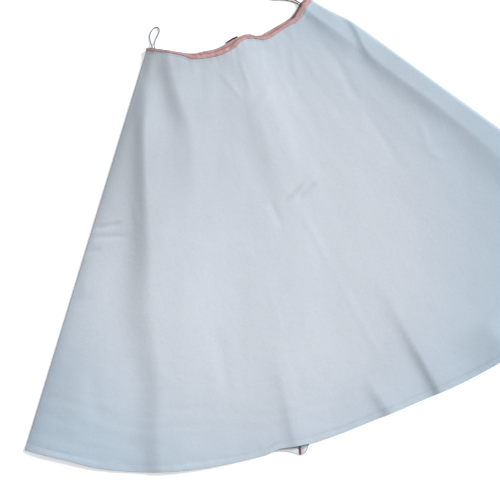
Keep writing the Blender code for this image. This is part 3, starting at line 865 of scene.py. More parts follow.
@dataclass(frozen=True)
class ClothFinish:
    """Off-white plain weave with slubs, cooler in random patches, with painted shade along turned edges and
    broad painted light and shade.
    """

    light: Colour = (0.549, 0.583, 0.638)
    cool: Colour = (0.40, 0.487, 0.568)
    # Painted light, mixed in where the edge attribute is negative.
    pale: Colour = (0.70, 0.725, 0.74)
    thread: Colour = (0.46, 0.49, 0.53)
    # Painted shade, mixed in where the edge attribute is positive.
    edge: Colour = (0.12, 0.123, 0.13)
    pitch: float = 0.8
    # Painted light falloff: lightest near this middle, cooler and darker further out, between the two radii
    # below.
    middle: Triple = (-0.092, -0.008, 0.0)
    painted_lit_radius: float = 0.206
    painted_shade_radius: float = 0.514
    # Painted shade: a broad patch, darker towards the upper left, fading out between the two distances below.
    broad_shade: Colour = (0.44, 0.482, 0.534)
    broad_shade_place: Triple = (-0.22, 0.27, 0.0)
    broad_shade_from: float = 0.05
    broad_shade_to: float = 0.41
    broad_shade_share: float = 0.79

    def build(self) -> Material:
        """Makes the cloth's material.

        Returns:
            The material.
        """
        recipe = Recipe("skirt_cloth", 0.88)
        recipe.set("Sheen Weight", 0.2)
        recipe.set("Sheen Roughness", 0.6)
        recipe.set("Specular IOR Level", 0.25)
        place = recipe.object_place()
        # Painted light falloff: cooler and darker with the distance from the lit middle.
        away = recipe.distance(place, self.middle)
        mottle = recipe.grain(place, (9.0, 7.0, 9.0), 3.0)
        weft = recipe.grain(place, (26.0, 1.1, 30.0), 2.0)
        warp = recipe.grain(place, (1.2, 34.0, 30.0), 2.0)
        weave = recipe.woven(place, self.pitch)
        colour = recipe.blend(recipe.ranged(away, self.painted_lit_radius, self.painted_shade_radius), self.light, self.cool)
        # Painted shade: darker in a broad patch towards the upper left.
        from_broad_shade = recipe.distance(place, self.broad_shade_place)
        broad_shaded = recipe.ranged(from_broad_shade, self.broad_shade_from, self.broad_shade_to, self.broad_shade_share, 0.0)
        colour = recipe.blend(broad_shaded, colour, self.broad_shade)
        colour = recipe.blend(recipe.ranged(weft, 0.52, 0.8, 0.0, 0.3), colour, self.thread)
        colour = recipe.blend(recipe.ranged(warp, 0.54, 0.82, 0.0, 0.22), colour, self.thread)
        colour = recipe.blend(recipe.ranged(mottle, 0.45, 0.85, 0.0, 0.16), colour, self.cool)
        # The edge attribute paints light where it is negative and shade where it is positive: at rims, hem,
        # creases and broad patches.
        edge = recipe.attribute("edge")
        colour = recipe.blend(recipe.ranged(edge, -1.0, 0.0, 1.0, 0.0), colour, self.pale)
        colour = recipe.blend(edge, colour, self.edge)
        recipe.coloured(colour)
        recipe.raised(((mottle, 0.2), (weft, 0.14), (warp, 0.1), (weave, 0.05)))
        return recipe.material


@dataclass(frozen=True)
class StripFinish:
    """Narrow cotton strip with fine ribs, creased and unevenly faded, with painted shade in its folds."""

    name: str
    light: Colour
    deep: Colour
    length: float
    width: float
    sheen: float = 0.3
    pitch: float = 0.45

    def build(self) -> Material:
        """Makes the strip's material.

        Returns:
            The material, which follows the piece's UV map.
        """
        recipe = Recipe(self.name, 0.66)
        recipe.set("Sheen Weight", self.sheen)
        recipe.set("Sheen Roughness", 0.4)
        recipe.set("Specular IOR Level", 0.35)
        place = recipe.strip_place(self.length, self.width)
        fading = recipe.grain(place, (22.0, 9.0, 10.0), 2.0)
        puckers = recipe.grain(place, (2.6, 9.0, 5.0), 2.0)
        weave = recipe.woven(place, self.pitch)
        colour = recipe.blend(recipe.ranged(fading, 0.4, 0.75, 0.0, 0.35), self.light, self.deep)
        # Painted shade in the puckers.
        colour = recipe.blend(recipe.ranged(puckers, 0.52, 0.8, 0.0, 0.4), colour, self.deep)
        # The edge attribute: painted shade and shadow on the pink strips, and the own darker tone of the tape
        # and of the label's middle.
        colour = recipe.blend(recipe.attribute("edge"), colour, self.deep)
        recipe.coloured(colour)
        recipe.raised(((puckers, 0.5), (weave, 0.04)))
        return recipe.material


@dataclass(frozen=True)
class CordFinish:
    """Twisted cord whose fibres follow its length."""

    name: str
    light: Colour
    dark: Colour
    length: float
    girth: float

    def build(self) -> Material:
        """Makes the cord's material.

        Returns:
            The material, which follows the piece's UV map.
        """
        recipe = Recipe(self.name, 0.7)
        recipe.set("Sheen Weight", 0.05)
        recipe.set("Specular IOR Level", 0.15)
        place = recipe.strip_place(self.length, self.girth)
        wear = recipe.grain(place, (16.0, 8.0, 5.0), 2.0)
        fibres = recipe.grain(place, (3.0, 0.22, 5.0), 2.0)
        colour = recipe.blend(recipe.ranged(wear, 0.4, 0.7), self.light, self.dark)
        colour = recipe.blend(recipe.ranged(fibres, 0.5, 0.8, 0.0, 0.3), colour, self.dark)
        # Painted shade in the hollows between the plies, from the edge attribute.
        colour = recipe.blend(recipe.attribute("edge"), colour, self.dark)
        recipe.coloured(colour)
        recipe.raised(((fibres, 0.12),))
        return recipe.material


@dataclass(frozen=True)
class ThreadFinish:
    """Sewing thread, a little uneven in tone."""

    name: str
    light: Colour
    dark: Colour

    def build(self) -> Material:
        """Makes the thread's material.

        Returns:
            The material.
        """
        recipe = Recipe(self.name, 0.6)
        recipe.set("Sheen Weight", 0.15)
        place = recipe.object_place()
        tone = recipe.grain(place, (14.0, 14.0, 14.0), 1.0)
        twist = recipe.grain(place, (0.35, 0.35, 0.35), 1.0)
        recipe.coloured(recipe.blend(recipe.ranged(tone, 0.35, 0.7), self.light, self.dark))
        recipe.raised(((twist, 0.1),))
        return recipe.material


@dataclass(frozen=True)
class FloorFinish:
    """Plain pale floor with the least unevenness of tone."""

    light: Colour = (0.97, 0.97, 0.97)
    soft: Colour = (0.955, 0.957, 0.96)
    glow: float = 0.35

    def build(self) -> Material:
        """Makes the floor's material.

        Returns:
            The material.
        """
        recipe = Recipe("pale_floor", 0.9)
        recipe.set("Specular IOR Level", 0.1)
        recipe.set("Emission Color", (*self.light, 1.0))
        recipe.set("Emission Strength", self.glow)
        tone = recipe.grain(recipe.object_place(), (900.0, 900.0, 900.0), 1.0)
        recipe.coloured(recipe.blend(recipe.ranged(tone, 0.3, 0.7), self.light, self.soft))
        return recipe.material


def deselect_all() -> None:
    """Leaves nothing selected, so that an operator acts on the next piece alone."""
    bpy.ops.object.select_all(action="DESELECT")


def select_only(piece: Piece) -> None:
    """Selects one piece alone and makes it active.

    Args:
        piece: the piece.
    """
    deselect_all()
    piece.select_set(True)
    bpy.context.view_layer.objects.active = piece


def add_sheet(name: str, columns: int, rows: int, shape: Shape, facing_down: bool = False) -> Piece:
    """Adds a grid and moves its points to where a shape has them.

    Args:
        name: the new piece's name.
        columns: cells across, from left to right.
        rows: cells down, from the first row to the last.
        shape: gives x, y and z in millimetres and the edge's shade for arrays of column and row numbers.
        facing_down: whether the cloth's outer face looks at the floor.

    Returns:
        The new piece, an open sheet.
    """
    deselect_all()
    bpy.ops.mesh.primitive_grid_add(x_subdivisions=columns, y_subdivisions=rows, size=1.0, location=(0, 0, 0))
    piece = bpy.context.object
    piece.name = name
    piece.data.name = name
    unit = np.zeros(len(piece.data.vertices) * 3)
    piece.data.vertices.foreach_get("co", unit)
    unit = unit.reshape(-1, 3)
    side = -1 if facing_down else 1
    column = np.rint((0.5 + side * unit[:, 0]) * columns).astype(int)
    row = np.rint((0.5 - unit[:, 1]) * rows).astype(int)
    x, y, z, shade = shape(column, row)
    points = np.stack([np.broadcast_to(axis, column.shape) for axis in (x, y, z)], axis=1) * MM
    piece.data.vertices.foreach_set("co", points.ravel())
    # The edge attribute carries painted shade, and painted light where it is negative; the tape and the label
    # carry their own tone in it.
    edge = piece.data.attributes.new("edge", "FLOAT", "POINT")
    edge.data.foreach_set("value", np.broadcast_to(shade, column.shape).astype(np.float32))
    piece.data.update()
    return piece


def thicken(piece: Piece, thickness: float, smooth_angle: float = 60.0) -> None:
    """Gives a sheet its thickness, away from its outer face, and shades it smooth.

    Args:
        piece: the open sheet.
        thickness: its thickness in millimetres.
        smooth_angle: edges sharper than this, in degrees, stay sharp.
    """
    select_only(piece)
    bpy.ops.object.modifier_add(type="SOLIDIFY")
    wall = piece.modifiers[-1]
    wall.thickness = thickness * MM
    wall.offset = -1.0
    bpy.ops.object.modifier_apply(modifier=wall.name)
    bpy.ops.object.shade_smooth_by_angle(angle=math.radians(smooth_angle))


def hand_over(piece: Piece, material: Material, slot: str, *nodes: str) -> None:
    """Dresses a finished piece and ties it to the frame.

    Args:
        piece: the finished piece.
        material: its finish.
        slot: the record's slot that the finish stands for; not used.
        *nodes: the solids that it replaces.
    """
    piece.data.materials.clear()
    piece.data.materials.append(material)
    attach(piece, BODY)
    if nodes:
        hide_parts(*nodes)
    triangles = sum(len(face.vertices) - 2 for face in piece.data.polygons)
    LOG.info("%s: %d triangles", piece.name, triangles)


class SheetPiece:
    """A piece made from one sheet, which is thickened and dressed in place of a solid."""

    name: str
    node: str
    slot: str
    columns: int
    rows: int
    thickness: float
    facing_down: bool = False
    smooth_angle: float = 60.0

    def shape(self, column: np.ndarray, row: np.ndarray) -> Places:
        """Where the sheet's points lie.

        Args:
            column: each point's column number.
            row: each point's row number.

        Returns:
            x, y and z in millimetres, and the edge's shade.
        """
        raise NotImplementedError

    def build(self, material: Material) -> Piece:
        """Makes the piece.

        Args:
            material: its finish.

        Returns:
            The finished piece.
        """
        piece = add_sheet(self.name, self.columns, self.rows, self.shape, self.facing_down)
        thicken(piece, self.thickness, self.smooth_angle)
        hand_over(piece, material, self.slot, self.node)
        return piece


class HemmedCloth(SheetPiece):
    """A panel of cloth whose hem is folded over."""

    slot: str = "cloth"
    hem_slack: float = 0.05

    @property
    def hem_radius(self) -> float:
        """Radius of the hem's folded edge, outside."""
        return self.thickness + self.hem_slack


@dataclass
class FrontPanel(HemmedCloth):
    """The front's cloth, with its folds and creases, rolled side edges and turned hem."""

    form: SkirtForm
    name: str = "front_cloth"
    node: str = "front"
    thickness: float = 0.75
    even_columns: int = 238
    side_columns: tuple[float, ...] = (0.4, 0.9, 1.6, 2.6, 4.2)
    waist_rows: tuple[float, ...] = (0.0, 2.0, 4.0, 6.0, 7.5, 9.0, 10.5, 12.0, 14.0, 16.5)
    middle_rows: int = 150
    row_crowd: tuple[Point, ...] = ((0.0, 0.0), (0.34, 0.36), (0.56, 0.52), (1.0, 1.0))
    hem_rows: tuple[float, ...] = (15.0, 13.5, 12.2, 11.2, 10.2, 9.4, 8.6, 7.8, 6.8, 5.4, 4.0, 2.6, 1.6)
    fold_rows: int = 6
    under_rows: tuple[float, ...] = (2.4, 4.6, 6.8, 9.2)
    left_round: float = 1.8
    right_round: float = 0.8
    seam_height: float = 0.9
    hem_height: float = 1.75
    hem_rise: float = 4.0
    hem_drawn_in: float = 1.6
    stitch_line: float = 9.0
    stitch_dip: float = 0.3
    stitch_width: float = 1.3
    stitch_lift: float = 0.12
    lip_height: float = 0.6
    lip_width: float = 1.7
    hem_pucker: Ripple = Ripple(17.0, 30.0, 0.35, 51.0)
    hem_pucker_reach: float = 9.0
    gathers: Ripple = Ripple(9.0, 40.0, 0.22, 77.0)
    gathers_reach: float = 22.0
    # Painted shade: at the side rims, along the hem's folded edge and along the hem's step.
    left_rim: float = 0.35
    left_rim_reach: float = 0.8
    right_rim_reach: float = 2.6
    fold_shade: float = 0.27
    step_shade: float = 0.13
    step_reach: float = 2.6

    @property
    def columns(self) -> int:
        """Cells across the panel."""
        return len(self.column_shares()) - 1

    @property
    def rows(self) -> int:
        """Cells down the panel."""
        return len(self.row_table()) - 1

    def column_shares(self) -> np.ndarray:
        """Where the columns run, close together at the sides.

        Returns:
            Shares of the way across.
        """
        width = 2 * math.radians(self.form.half_angle) * (self.form.waist_radius + self.form.seam_length)
        near = np.array(self.side_columns) / width
        even = np.linspace(near[-1], 1 - near[-1], self.even_columns + 1)[1:-1]
        return np.concatenate([[0.0], near, even, 1 - near[::-1], [1.0]])

    def row_table(self) -> np.ndarray:
        """Where the rows run.

        Returns:
            Share from waist to hem, distance from its end and turn round the edge, for each row.
        """
        table = [(0.0, down, 0.0) for down in self.waist_rows]
        even = np.linspace(0.0, 1.0, self.middle_rows + 1)[1:-1]
        table += [(share, 0.0, 0.0) for share in np.interp(even, *zip(*self.row_crowd))]
        table += [(1.0, up, 0.0) for up in self.hem_rows]
        table += [(1.0, self.hem_radius, turn) for turn in np.linspace(0.0, math.pi, self.fold_rows + 1)]
        table += [(1.0, self.hem_radius + back, math.pi) for back in self.under_rows]
        return np.array(table)

    def down_of(self, angle: np.ndarray, row: np.ndarray) -> np.ndarray:
        """Distance down the skirt of a row.

        Args:
            angle: places round the skirt.
            row: row numbers, in the same shape.

        Returns:
            Distances, in the same shape.
        """
        share, distance, turn = self.row_table()[row].T
        from_waist = self.form.front_edge.at(angle) + np.where(share == 0.0, distance, self.waist_rows[-1])
        from_hem = self.form.hem.at(angle) - np.where(share == 1.0, distance, self.hem_rows[0])
        return from_waist * (1 - share) + (from_hem + self.hem_radius * np.sin(turn)) * share

    def top(self, angle: np.ndarray, down: np.ndarray) -> np.ndarray:
        """Height of the cloth's upper face, with its hem, stitch line and the lip below the waist strip.

        Args:
            angle: places round the skirt.
            down: places down the skirt, in the same shape.

        Returns:
            Heights over the floor.
        """
        form = self.form
        hem = form.hem.at(angle)
        from_strip = down - form.front_edge.at(angle) - form.front_strip.at(angle)
        from_stitches = down - hem + self.stitch_line
        step = form.hem_extra * ease((down - hem + form.hem_turn + form.hem_step) / form.hem_step)
        dip = self.stitch_dip * bump(from_stitches, self.stitch_width)
        lip = self.lip_height * bump(from_strip - self.lip_width, self.lip_width)
        across = np.radians(angle) * (form.waist_radius + down)
        puckers = self.hem_pucker.at(across, down) * bump(from_stitches, self.hem_pucker_reach)
        gathers = self.gathers.at(across, down) * bump(from_strip, self.gathers_reach)
        return form.front_top(angle, down) + step - dip + lip + puckers + gathers

    def edge_shade(self, angle: np.ndarray, down: np.ndarray, turn: np.ndarray) -> np.ndarray:
        """Painted shade at the cloth's side edges, along its hem's fold and step and along its small creases,
        with the patches' painted light and shade.

        Args:
            angle: places round the skirt.
            down: places down the skirt, in the same shape.
            turn: turns round the hem's folded edge, in the same shape.

        Returns:
            Painted shades, where a negative one is painted light.
        """
        form = self.form
        from_left, from_right = form.side_distances(angle, down)
        left_rim = self.left_rim * bump(from_left, self.left_rim_reach)
        right_rim = bump(from_right, self.right_rim_reach)
        folded = self.fold_shade * ease((np.sin(turn) - 0.4) / 0.6)
        from_step = down - form.hem.at(angle) + form.hem_turn + form.hem_step / 2
        stepped = self.step_shade * bump(from_step, self.step_reach) * (turn == 0.0)
        return np.maximum.reduce([left_rim, right_rim, folded, stepped]) + form.crease_shade(angle, down)

    def shape(self, column: np.ndarray, row: np.ndarray) -> Places:
        """Where the panel's points lie.

        Args:
            column: each point's column number.
            row: each point's row number.

        Returns:
            x, y and z in millimetres, and the edge's shade.
        """
        form = self.form
        share = self.column_shares()[column]
        turn = self.row_table()[row][:, 2]
        starts = self.down_of(-form.half_angle + (form.right_side(0.0) + form.half_angle) * share, row)
        ends = self.down_of(-form.half_angle + 2 * form.half_angle * share, row)
        down = starts + (ends - starts) * ease(starts / form.seam_length)
        left = form.left_side(down)
        angle = left + (form.right_side(down) - left) * share
        tucked = (1 - np.cos(turn)) / 2
        angle = angle * (1 - self.hem_drawn_in * tucked / form.arc_between(form.half_angle, 0.0, down))
        from_left, from_right = form.side_distances(angle, down)
        near_hem = ease((down - form.hem.at(angle) + form.hem_turn + self.hem_rise) / self.hem_rise)
        foot = self.seam_height + (self.hem_height - self.seam_height) * near_hem
        reach = np.clip(np.minimum(from_left / self.left_round, from_right / self.right_round), 0.0, 1.0)
        rounded = np.sqrt(1 - (1 - reach) ** 2)
        rounded = rounded + (1 - rounded) * tucked
        z = foot + (self.top(angle, down) - foot) * rounded - 2 * self.hem_radius * tucked
        return *form.on_floor(angle, down), z, self.edge_shade(angle, down, turn)

    def stitching(self, angle: np.ndarray) -> np.ndarray:
        """Places on the hem's stitching.

        Args:
            angle: places round the skirt.

        Returns:
            x, y and z in millimetres, a row for each place.
        """
        down = self.form.hem.at(angle) - self.stitch_line
        return np.column_stack([*self.form.on_floor(angle, down), self.top(angle, down) + self.stitch_lift])


@dataclass
class BackHalf(HemmedCloth):
    """One half of the back, flat on the floor, with its hem turned up on the inside."""

    form: SkirtForm
    half: Half
    thickness: float = 0.75
    columns: int = 150
    rows: int = 150
    facing_down: bool = True
    crowding: float = 0.12
    hem_rows: tuple[float, ...] = (13.0, 11.0, 9.0, 7.0, 5.0, 3.4, 2.0)
    fold_rows: int = 6
    under_rows: tuple[float, ...] = (1.8, 3.8, 6.0, 8.6)
    curl_angle: float = -6.95
    curl_width: float = 6.0
    curl_height: float = 1.8
    curl_above: float = 8.0
    curl_fade: float = 18.0
    # Painted shade along the hem's folded edge, and painted light on the inside where it peeks out.
    rim_shade: float = 0.2
    rim_reach: float = 2.2
    peek_above: float = 12.0
    peek_fade: float = 8.0

    @property
    def node(self) -> str:
        """Name of this half's solid."""
        return f"back_{self.half.value}"

    @property
    def name(self) -> str:
        """Name of this half's piece."""
        return f"{self.node}_cloth"

    def sides(self, down: Floats) -> tuple[np.ndarray, np.ndarray]:
        """Angles of this half's edges.

        Args:
            down: places down the skirt.

        Returns:
            Angles of the left edge and of the right one.
        """
        seam = self.form.seam_angle(down)
        gap = self.form.degrees_of(self.form.gap / 2, down)
        if self.half is Half.LEFT:
            return self.form.left_side(down), seam - gap
        return seam + gap, self.form.right_side(down)

    def crowded(self, share: np.ndarray) -> np.ndarray:
        """Shares of the way across with the columns brought closer to the centre-back seam."""
        side = 1 if self.half is Half.LEFT else -1
        return share + side * self.crowding * np.sin(math.pi * share)

    def curl(self, angle: np.ndarray, down: np.ndarray) -> np.ndarray:
        """Lift of the hem where it peeks out beside the seam.

        Args:
            angle: places round the skirt.
            down: places down the skirt, in the same shape.

        Returns:
            Heights to add.
        """
        across = self.form.arc_between(angle, self.curl_angle, down)
        past_hem = ease((down - self.form.hem.at(angle) + self.curl_above) / self.curl_fade)
        return self.curl_height * bump(across, self.curl_width) * past_hem

    def hem_table(self) -> tuple[np.ndarray, np.ndarray]:
        """Where the grid's last rows run.

        Returns:
            Distance above the hem's edge, and turn round it, for each of those rows.
        """
        folds = np.linspace(0.0, math.pi, self.fold_rows + 1)
        under = np.array(self.under_rows) + self.hem_radius
        up = np.concatenate([self.hem_rows, np.full(len(folds), self.hem_radius), under])
        turns = np.concatenate([np.zeros(len(self.hem_rows)), folds, np.full(len(under), math.pi)])
        return up, turns

    def edge_shade(self, angle: np.ndarray, down: np.ndarray, turn: np.ndarray) -> np.ndarray:
        """Dark rim of the curled corner that peeks out, painted light on the inside beside it, and painted
        shade along the hem's folded edge.

        Args:
            angle: places round the skirt.
            down: places down the skirt, in the same shape.
            turn: turns round the hem's folded edge, in the same shape.

        Returns:
            Shades, where a negative one is painted light.
        """
        form = self.form
        peeking = ease((down - form.hem.at(angle) + self.peek_above) / self.peek_fade)
        inside = np.where(turn > math.pi / 2, peeking, 0.0)
        slope = (form.back_hem(angle + 0.1) - form.back_hem(angle - 0.1)) / form.arc_between(0.2, 0.0, down)
        from_rim = (form.back_hem(angle) - down) / np.hypot(1.0, slope)
        past_curl = angle - self.curl_angle
        curled = inside * ease((past_curl + 0.1) / 0.2) * bump(from_rim, self.rim_reach)
        # Painted light on the inside of the hem where it peeks out.
        pale = inside * (turn > 3.0) * (0.85 - 0.6 * ease(past_curl / 0.15))
        # Painted shade along the hem's folded edge.
        rim = self.rim_shade * ease((np.sin(turn) - 0.3) / 0.7)
        return np.where(curled > 0.1, curled, rim - pale)

    def shape(self, column: np.ndarray, row: np.ndarray) -> Places:
        """Where this half's points lie.

        Args:
            column: each point's column number.
            row: each point's row number.

        Returns:
            x, y and z in millimetres, and the edge's shade.
        """
        form = self.form
        share = self.crowded(column / self.columns)
        up, turns = self.hem_table()
        plain = self.rows + 1 - len(up)
        in_hem = row >= plain
        number = np.clip(row - plain, 0, len(up) - 1)
        turn = np.where(in_hem, turns[number], 0.0)
        left, right = self.sides(0.0)
        top = form.back_edge.at(left + (right - left) * share)
        left, right = self.sides(form.seam_length)
        bottom = form.back_hem(left + (right - left) * share)
        down = top + (bottom - self.hem_rows[0] - top) * np.clip(row / plain, 0.0, 1.0)
        down = np.where(in_hem, bottom - up[number] + self.hem_radius * np.sin(turn), down)
        left, right = self.sides(down)
        angle = left + (right - left) * share
        z = self.hem_radius * (1 - np.cos(turn)) + self.curl(angle, down)
        return *form.on_floor(angle, down), z, self.edge_shade(angle, down, turn)


class WaistStrip(SheetPiece):
    """A pink strip along a waist edge, swept along it from a profile."""

    slot: str = "pink_binding"
    smooth_angle: float = 70.0
    form: SkirtForm
    margin: float
    profile: tuple[tuple[float, ...], ...]

    @property
    def rows(self) -> int:
        """Cells across the strip."""
        return len(self.profile) - 1

    def run(self, column: np.ndarray) -> tuple[np.ndarray, np.ndarray]:
        """Where the strip's columns are.

        Args:
            column: column numbers.

        Returns:
            Their angles, and their distances along the strip.
        """
        ends = self.form.degrees_of(self.margin, 0.0)
        first = -self.form.half_angle + ends
        last = self.form.right_side(0.0) - ends
        share = column / self.columns
        return first + (last - first) * share, share * self.form.arc_between(last, first, 0.0)


@dataclass
class FrontStrip(WaistStrip):
    """The pink strip wrapped over the front's waist edge, gathered into small creases.

    A point of its profile is a share of the way up the strip, and distances out past its edge and up.
    """

    panel: FrontPanel
    name: str = "front_strip"
    node: str = "front_binding"
    margin: float = 0.0
    thickness: float = 0.45
    columns: int = 520
    facing_down: bool = True
    pull: float = 2.2
    pull_place: float = 24.5
    pull_width: float = 20.0
    # Painted shadow on the strip beside the label.
    label_shadow_place: float = -3.0
    label_shadow_width: float = 5.0
    label_shadow_strength: float = 0.6
    # Painted shade in the profile's groove, and painted shadow along the top where the back strip meets it.
    rib_shade: float = 0.3
    upper_shade: float = 0.95
    stitch_share: float = 0.77
    stitch_lift: float = 1.05
    width_wave: Ripple = Ripple(11.0, 1.0, 0.07, 5.0)
    puckers: Ripple = Ripple(7.0, 1.0, 0.30, 23.0)
    pucker_slant: float = 3.5
    fine_puckers: Ripple = Ripple(3.2, 0.625, 0.16, 41.0)
    profile: tuple[Triple, ...] = (
        (0.0, 0.0, 0.5),
        (0.05, 0.0, 0.95),
        (0.14, 0.0, 1.12),
        (0.24, 0.0, 0.98),
        (0.38, 0.0, 1.16),
        (0.52, 0.0, 1.28),
        (0.68, 0.0, 1.3),
        (0.84, 0.0, 1.22),
        (1.0, 0.1, 1.05),
        (1.0, 0.65, 0.75),
        (1.0, 0.98, 0.1),
        (1.0, 1.05, -0.6),
        (1.0, 0.9, -1.2),
        (1.0, 0.4, -1.45),
    )

    @property
    def form(self) -> SkirtForm:
        """How the skirt is cut and lies."""
        return self.panel.form

    def edge(self, angle: np.ndarray) -> np.ndarray:
        """Distance down the skirt of the strip's upper edge, pulled up a little near the right loop."""
        pulled = bump(self.form.arc_between(angle, self.pull_place, 0.0), self.pull_width)
        return self.form.front_edge.at(angle) - self.pull * pulled

    def shape(self, column: np.ndarray, row: np.ndarray) -> Places:
        """Where the strip's points lie.

        Args:
            column: each point's column number.
            row: number of each point on the profile.

        Returns:
            x, y and z in millimetres, and the edge's shade.
        """
        form = self.form
        angle, along = self.run(column)
        climb, out, up = np.array(self.profile)[row].T
        width = form.front_strip.at(angle) * (1 + self.width_wave.at(along, 0.0))
        down = self.edge(angle) + width * (1 - climb) - out
        base = self.panel.top(angle, np.maximum(down, form.front_edge.at(angle)))
        across = (climb + out * 0.1) * 2.0
        swell = self.puckers.at(along + self.pucker_slant * across, across)
        swell = swell + self.fine_puckers.at(along, across)
        free = ease(climb / 0.12) * ease((1.2 - out) / 0.6)
        # Painted shade in the groove, and painted shadow along the top.
        rib = self.rib_shade * bump(climb - 0.24, 0.07) * (out < 0.05)
        upper = ease((climb - 0.78) / 0.2) * form.strip_shadow(angle, self.upper_shade)
        # Painted shadow beside the label.
        from_label_shadow = form.arc_between(angle, self.label_shadow_place, 0.0)
        label_shadow = self.label_shadow_strength * bump(from_label_shadow, self.label_shadow_width) * ease(climb / 0.4)
        return *form.on_floor(angle, down), base + up + swell * free, np.maximum.reduce([rib, upper, label_shadow])

    def stitching(self, angle: np.ndarray) -> np.ndarray:
        """Places on the strip's stitching.

        Args:
            angle: places round the skirt.

        Returns:
            x, y and z in millimetres, a row for each place.
        """
        down = self.edge(angle) + self.form.front_strip.at(angle) * self.stitch_share
        z = self.panel.top(angle, down) + self.stitch_lift
        return np.column_stack([*self.form.on_floor(angle, down), z])


@dataclass
class BackStrip(WaistStrip):
    """The pink strip inside the back's waist edge.

    A point of its profile is a share of the way down the strip, and a height.
    """

    form: SkirtForm
    name: str = "back_strip"
    node: str = "back_binding"
    margin: float = 1.0
    width: float = 12.0
    thickness: float = 0.45
    columns: int = 480
    # Painted shadow where the front strip hangs over this one, and painted shade in the groove.
    hidden_above: float = 3.4
    hidden_fade: float = 2.0
    rib_shade: float = 0.25
    wobble: Ripple = Ripple(12.0, 1.0, 0.25, 61.0)
    puckers: Ripple = Ripple(6.0, 0.5, 0.22, 67.0)
    fine_puckers: Ripple = Ripple(3.0, 1 / 3, 0.12, 71.0)
    profile: tuple[Point, ...] = (
        (0.0, 1.3),
        (0.03, 1.75),
        (0.10, 2.05),
        (0.2, 1.9),
        (0.34, 2.0),
        (0.5, 2.1),
        (0.7, 2.1),
        (0.9, 2.0),
        (1.0, 1.75),
    )

    def shape(self, column: np.ndarray, row: np.ndarray) -> Places:
        """Where the strip's points lie.

        Args:
            column: each point's column number.
            row: number of each point on the profile.

        Returns:
            x, y and z in millimetres, and the edge's shade.
        """
        form = self.form
        angle, along = self.run(column)
        across, up = np.array(self.profile)[row].T
        down = form.back_edge.at(angle) + self.margin + self.wobble.at(along, 0.0) + self.width * across
        swell = self.puckers.at(along, across) + self.fine_puckers.at(along, across)
        # Painted shadow under the front strip's edge, and painted shade in the groove.
        under_front = ease((down - form.front_edge.at(angle) + self.hidden_above) / self.hidden_fade)
        shadowed = under_front * form.strip_shadow(angle, 1.0)
        shade = np.maximum(shadowed, self.rib_shade * bump(across - 0.2, 0.06))
        return *form.on_floor(angle, down), up + swell * ease(across / 0.1), shade


@dataclass
class SeamTape(SheetPiece):
    """The narrow tape on the centre-back seam, down to the hem that peeks out.

    A point of its profile is a share of its width, and a height.
    """

    half: BackHalf
    name: str = "seam_tape"
    node: str = "seam_binding"
    slot: str = "seam_tape"
    start: float = 22.0
    inset: float = 1.0
    width: float = 3.4
    thickness: float = 0.5
    clear: float = 0.1
    hem_climb: float = 3.0
    rows: int = 200
    tone: Ripple = Ripple(9.0, 0.5, 0.3, 83.0)
    profile: tuple[Point, ...] = ((-0.5, 0.0), (-0.36, 0.3), (0.0, 0.38), (0.36, 0.3), (0.5, 0.0))

    @property
    def columns(self) -> int:
        """Cells across the tape."""
        return len(self.profile) - 1

    def shape(self, column: np.ndarray, row: np.ndarray) -> Places:
        """Where the tape's points lie.

        Args:
            column: number of each point on the profile.
            row: each point's row number.

        Returns:
            x, y and z in millimetres, and the edge's shade.
        """
        form = self.half.form
        end = form.back_hem(form.seam_at_hem) - self.inset
        down = self.start + (end - self.start) * row / self.rows
        across, up = np.array(self.profile)[column].T
        angle = form.seam_angle(down) + form.degrees_of(across * self.width, down)
        on_hem = ease((down - end + form.hem_turn + self.hem_climb) / self.hem_climb)
        cloth = self.half.thickness + (2 * self.half.hem_radius - self.half.thickness) * on_hem
        z = cloth + self.clear + self.thickness + up + self.half.curl(angle, down)
        return *form.on_floor(angle, down), z, self.tone.at(down, across)


@dataclass
class LabelTab(SheetPiece):
    """The blank woven label, of which the upper edge shows past the back's waist."""

    form: SkirtForm
    name: str = "label_tab"
    node: str = "label"
    slot: str = "label"
    first: float = -4.9
    last: float = 0.1
    above: float = 2.4
    below: float = 9.0
    height: float = 1.3
    roll: float = 0.35
    thickness: float = 0.4
    columns: int = 60
    rows: int = 24
    wave: Ripple = Ripple(0.25, 0.5, 0.12, 91.0)

    def shape(self, column: np.ndarray, row: np.ndarray) -> Places:
        """Where the label's points lie.

        Args:
            column: each point's column number.
            row: each point's row number.

        Returns:
            x, y and z in millimetres, and the edge's shade.
        """
        share = column / self.columns
        along = row / self.rows
        angle = self.first + (self.last - self.first) * share
        down = self.form.back_edge.at(angle) - self.above + (self.above + self.below) * along
        wave = self.wave.at(share, along) * (1 - ease((along - 0.1) / 0.2))
        z = self.height + wave + self.roll * bump(along, 0.09)
        return *self.form.on_floor(angle, down), z, ease(np.minimum(share, 1 - share) / 0.3)


